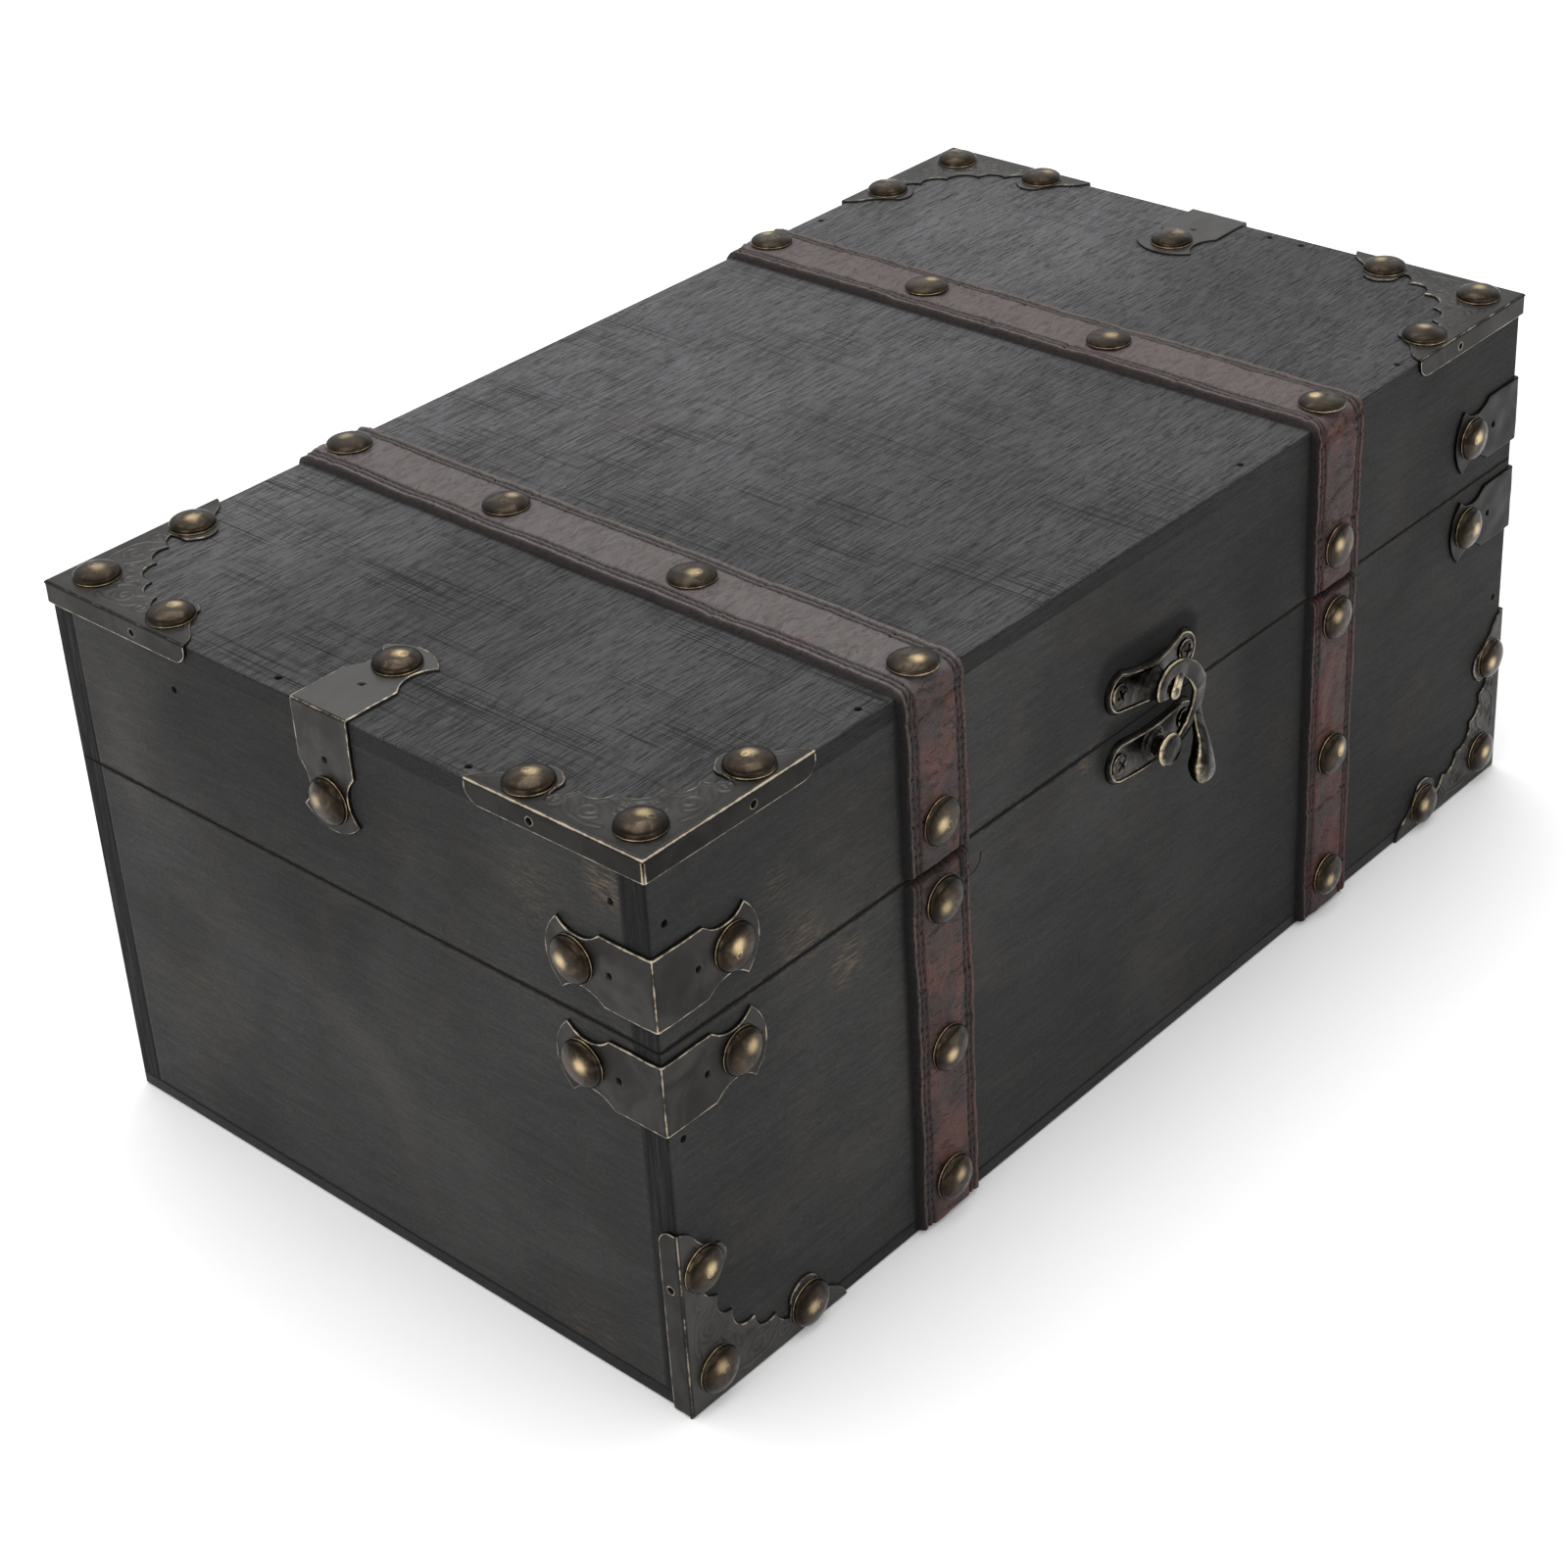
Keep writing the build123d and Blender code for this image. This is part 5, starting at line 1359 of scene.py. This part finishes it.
def makeHook():
    # hook: the curl steps in from the pivot to the keeper, the lug lies over the rivet, and the tail flares
    thick = latch["hookThick"] / 2
    level, arm = latch["hookLevel"] + thick, latch["armLevel"] + thick
    shape = newShape()
    curl = smoothLine(latch["curl"], 150)
    sweptBar(shape, curl, np.interp(curl[:, 1], (-13.0, -2.9), (arm, level)), thick)
    lug = smoothLine(latch["lug"], 60)
    # the lug's lower part and the tail's end carry a painted highlight
    sweptBar(shape, lug, level + np.interp(lug[:, 1], (-2.0, 1.0, 3.9), (0.5, 0.5, -0.1)), thick,
             gleam=np.interp(lug[:, 1], (1.5, 3.2), (0.62, 0.0))[:, None])
    tail = smoothLine(latch["tail"], 110)
    sweptBar(shape, tail[:, :3], arm + tail[:, 4], tail[:, 3], 1.0,
             gleam=np.interp(tail[:, 1], (-27.0, -21.0), (0.45, 0.0))[:, None])
    makePiece("latch_hook_cast", shape, latchBronze, "hook", ("latch_hook",), 60)


def turnedPiece(name, ending, body, key, level, up, count):
    # a turned solid standing on the front face: its profile raised to its level, its foot in the metal below
    raised = [(radius, level + height) for radius, height in latch[key]] + [latch[key + "Foot"]]
    profile = smoothLine(raised, count)
    turn = fullTurn(40)
    rows = latchPoint(profile[:, :1] * np.cos(turn), up + profile[:, :1] * np.sin(turn),
                      profile[:, 1:] + 0 * turn)
    # a bright rim, rubbed and painted as a highlight
    glow = capValues(np.interp(profile[:, 0], *latch[key + "RubAndHighlight"]))[1:, None]
    shape = newShape()
    addGrid(shape, np.concatenate([rows, drawnIn(rows[-1:])]), edge=glow)
    makePiece(name + ending, shape, latchBronze, body, (name,), 60)


def makeStudAndRivet():
    under, over = latch["armLevel"] + latch["hookThick"], latch["hookLevel"] + latch["hookThick"]
    turnedPiece("latch_keeper_stud", "_turned", "base", "stud", under + 0.3, -latch["studDrop"], 60)
    turnedPiece("latch_rivet", "_domed", "lid", "rivet", over + 0.1, latch["pivotRise"], 40)


def slotArm(across, along):
    # one arm of the cross recess: deep along its middle, fading at its sides and towards the rim
    wall, end = (latch["slotHalf"] - across) / 0.28, (latch["slotReach"] - along) / 0.6
    return np.clip(wall, 0, 1) * np.clip(end, 0, 1)


def screwHeads(name, body, up, spins):
    # each head is a low dome with a cross recess pressed in, with painted shade in the recess and a painted
    # highlight near the rim
    radius, seat = latch["screwRadius"], latch["plate"] - latch["screwSink"]
    turn = fullTurn(128)
    bend = np.linspace(0, pi / 2, 6)[1:]
    reach = np.concatenate([np.linspace(0, 0.92, 40), 0.92 + 0.08 * np.sin(bend)])[:, None] * radius
    x, y = reach * np.cos(turn), reach * np.sin(turn)
    shape = newShape()
    for sign, spin in zip((-1, 1), spins):
        c, s = cos(radians(spin)), sin(radians(spin))
        a, b = np.abs(c * x + s * y), np.abs(-s * x + c * y)
        arm = np.maximum(slotArm(b, a), slotArm(a, b))
        arm = arm * arm * (3 - 2 * arm)
        dome = latch["screwHeight"] * np.sqrt(np.maximum(1 - (reach / radius) ** 2.6, 0))
        rows = latchPoint(sign * latch["screwAlong"] + x, up + y, seat + (dome - latch["slotDepth"] * arm))
        glow = np.interp(reach, (0.5 * radius, 0.75 * radius, 0.95 * radius), (0.2, 0.0, 0.45))
        glow = np.broadcast_to(glow, arm.shape)
        addGrid(shape, np.concatenate([rows, drawnIn(rows[-1:])]),
                grimeAndShade=np.concatenate([0.9 * arm, 0 * arm[:1]]), edge=np.concatenate([glow, 0 * glow[:1]]))
    makePiece(name + "_heads", shape, latchBronze, body, (name,), 40)


def makeLatch():
    hookRise, keeperDrop = latch["hookPlateRise"], latch["keeperPlateDrop"]
    latchPlate("latch_hook_plate", "lid", hookRise, latch["hookDip"], latch["hookBulge"],
               hookRise - latch["pivotRise"], latch["hookBoss"])
    latchPlate("latch_keeper_plate", "base", -keeperDrop, latch["keeperDip"], latch["keeperBulge"],
               latch["studDrop"] - keeperDrop, latch["keeperBoss"])
    makeHook()
    makeStudAndRivet()
    screwHeads("latch_hook_screws", "lid", hookRise, latch["hookSpins"])
    screwHeads("latch_keeper_screws", "base", -keeperDrop, latch["keeperSpins"])
    print("latch made")


# Hinges and nails keep the frame's shapes

def dressHardware():
    for name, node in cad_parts.items():
        if name.startswith("hinge"):
            setMaterial(node, hingeBrass)
        if name.endswith("_nails"):
            setMaterial(node, nailSteel)
    print("hinges and nails dressed")


# Studio: a pale floor, soft lights, and the camera at the photographed angle; floor and lights in metres

studio = {
    "floorHalf": 4.0, "floorColour": (0.90, 0.90, 0.90, 1), "floorPale": (0.93, 0.93, 0.93, 1),
    "skyHigh": 1.05, "skyLow": 0.26, "skyRise": 0.45,
    # area lights as (name, place, size, power), all aimed at the chest's middle
    "lights": (
        ("overhead", (0.1, 0.35, 1.7), 1.5, 17.0),
        ("leftSoft", (-1.6, -0.2, 0.8), 1.0, 5.0),
        ("frontSoft", (-0.2, -1.8, 1.0), 0.9, 4.0),
    ),
    "aim": (0, 0, 0.07),
    # the camera as fitted to the photographed corners: turn, tilt and roll in degrees, place in millimetres,
    # and the optical axis at a row of the photo
    "turn": -46.528, "tilt": 29.422, "roll": -3.549, "place": (-506.15, -459.91, 475.14),
    "focalPixels": 3157.1, "framePixels": 1600, "opticalRow": 640, "sensor": 36.0,
}


def makeFloor():
    half = studio["floorHalf"]
    mesh = bpy.data.meshes.new("studioFloor")
    mesh.from_pydata([(-half, -half, 0), (half, -half, 0), (half, half, 0), (-half, half, 0)], [],
                     [(0, 1, 2, 3)])
    floor = bpy.data.objects.new("studioFloor", mesh)
    bpy.context.scene.collection.objects.link(floor)
    paper, tree, shader, place = newMaterial("studioPaper", {"Specular IOR Level": 0.2, "Roughness": 0.9})
    colour = blendColour(tree, noise(tree, place, 0.01, 2.0), studio["floorColour"], studio["floorPale"])
    plug(tree, colour, shader.inputs["Base Color"])
    mesh.materials.append(paper)
    print("floor made")


def makeLights():
    # a white tent, bright overhead and darker towards the horizon, and three soft lights
    world = bpy.data.worlds.new("studioSky")
    world.use_nodes = True
    tree = world.node_tree
    sky = next(n for n in tree.nodes if n.type == "BACKGROUND")
    rise = apart(tree, addNode(tree, "TexCoord").outputs["Generated"])[2]
    sky.inputs["Color"].default_value = (1, 1, 1, 1)
    plug(tree, span(tree, rise, 0.0, studio["skyRise"], studio["skyLow"], studio["skyHigh"]),
         sky.inputs["Strength"])
    bpy.context.scene.world = world
    for name, place, size, power in studio["lights"]:
        data = bpy.data.lights.new(name, "AREA")
        data.shape, data.size, data.energy = "SQUARE", size, power
        light = bpy.data.objects.new(name, data)
        light.location = place
        aim = Vector(studio["aim"]) - light.location
        light.rotation_euler = aim.to_track_quat("-Z", "Y").to_euler()
        bpy.context.scene.collection.objects.link(light)
    bpy.context.scene.view_settings.view_transform = "Standard"
    print("lights made")


def makeCamera():
    # axes from the fitted turn, tilt and roll, and a shift that keeps the optical axis where the photo has it
    turn, tilt, roll = (radians(studio[key]) for key in ("turn", "tilt", "roll"))
    back = np.array([sin(turn) * cos(tilt), -cos(turn) * cos(tilt), sin(tilt)])
    right = np.cross(-back, axisZ)
    right /= np.linalg.norm(right)
    up = np.cross(right, -back)
    right, up = cos(roll) * right + sin(roll) * up, -sin(roll) * right + cos(roll) * up
    data = bpy.data.cameras.new("photoCamera")
    data.sensor_width = studio["sensor"]
    data.lens = studio["focalPixels"] / studio["framePixels"] * studio["sensor"]
    data.shift_y = (studio["opticalRow"] - studio["framePixels"] / 2) / studio["framePixels"]
    data.clip_start, data.clip_end = 0.05, 20
    camera = bpy.data.objects.new("photoCamera", data)
    axes = np.stack([right, up, back], 1)
    rows = [[*row, number * mm] for row, number in zip(axes, studio["place"])]
    camera.matrix_world = Matrix(rows + [[0, 0, 0, 1]])
    bpy.context.scene.collection.objects.link(camera)
    bpy.context.scene.camera = camera
    print("camera made")


dressWood()
dressHardware()
makeCorners()
makeAngles()
makeAllTacks()
makeStraps()
makeLatch()
makeFloor()
makeLights()
makeCamera()
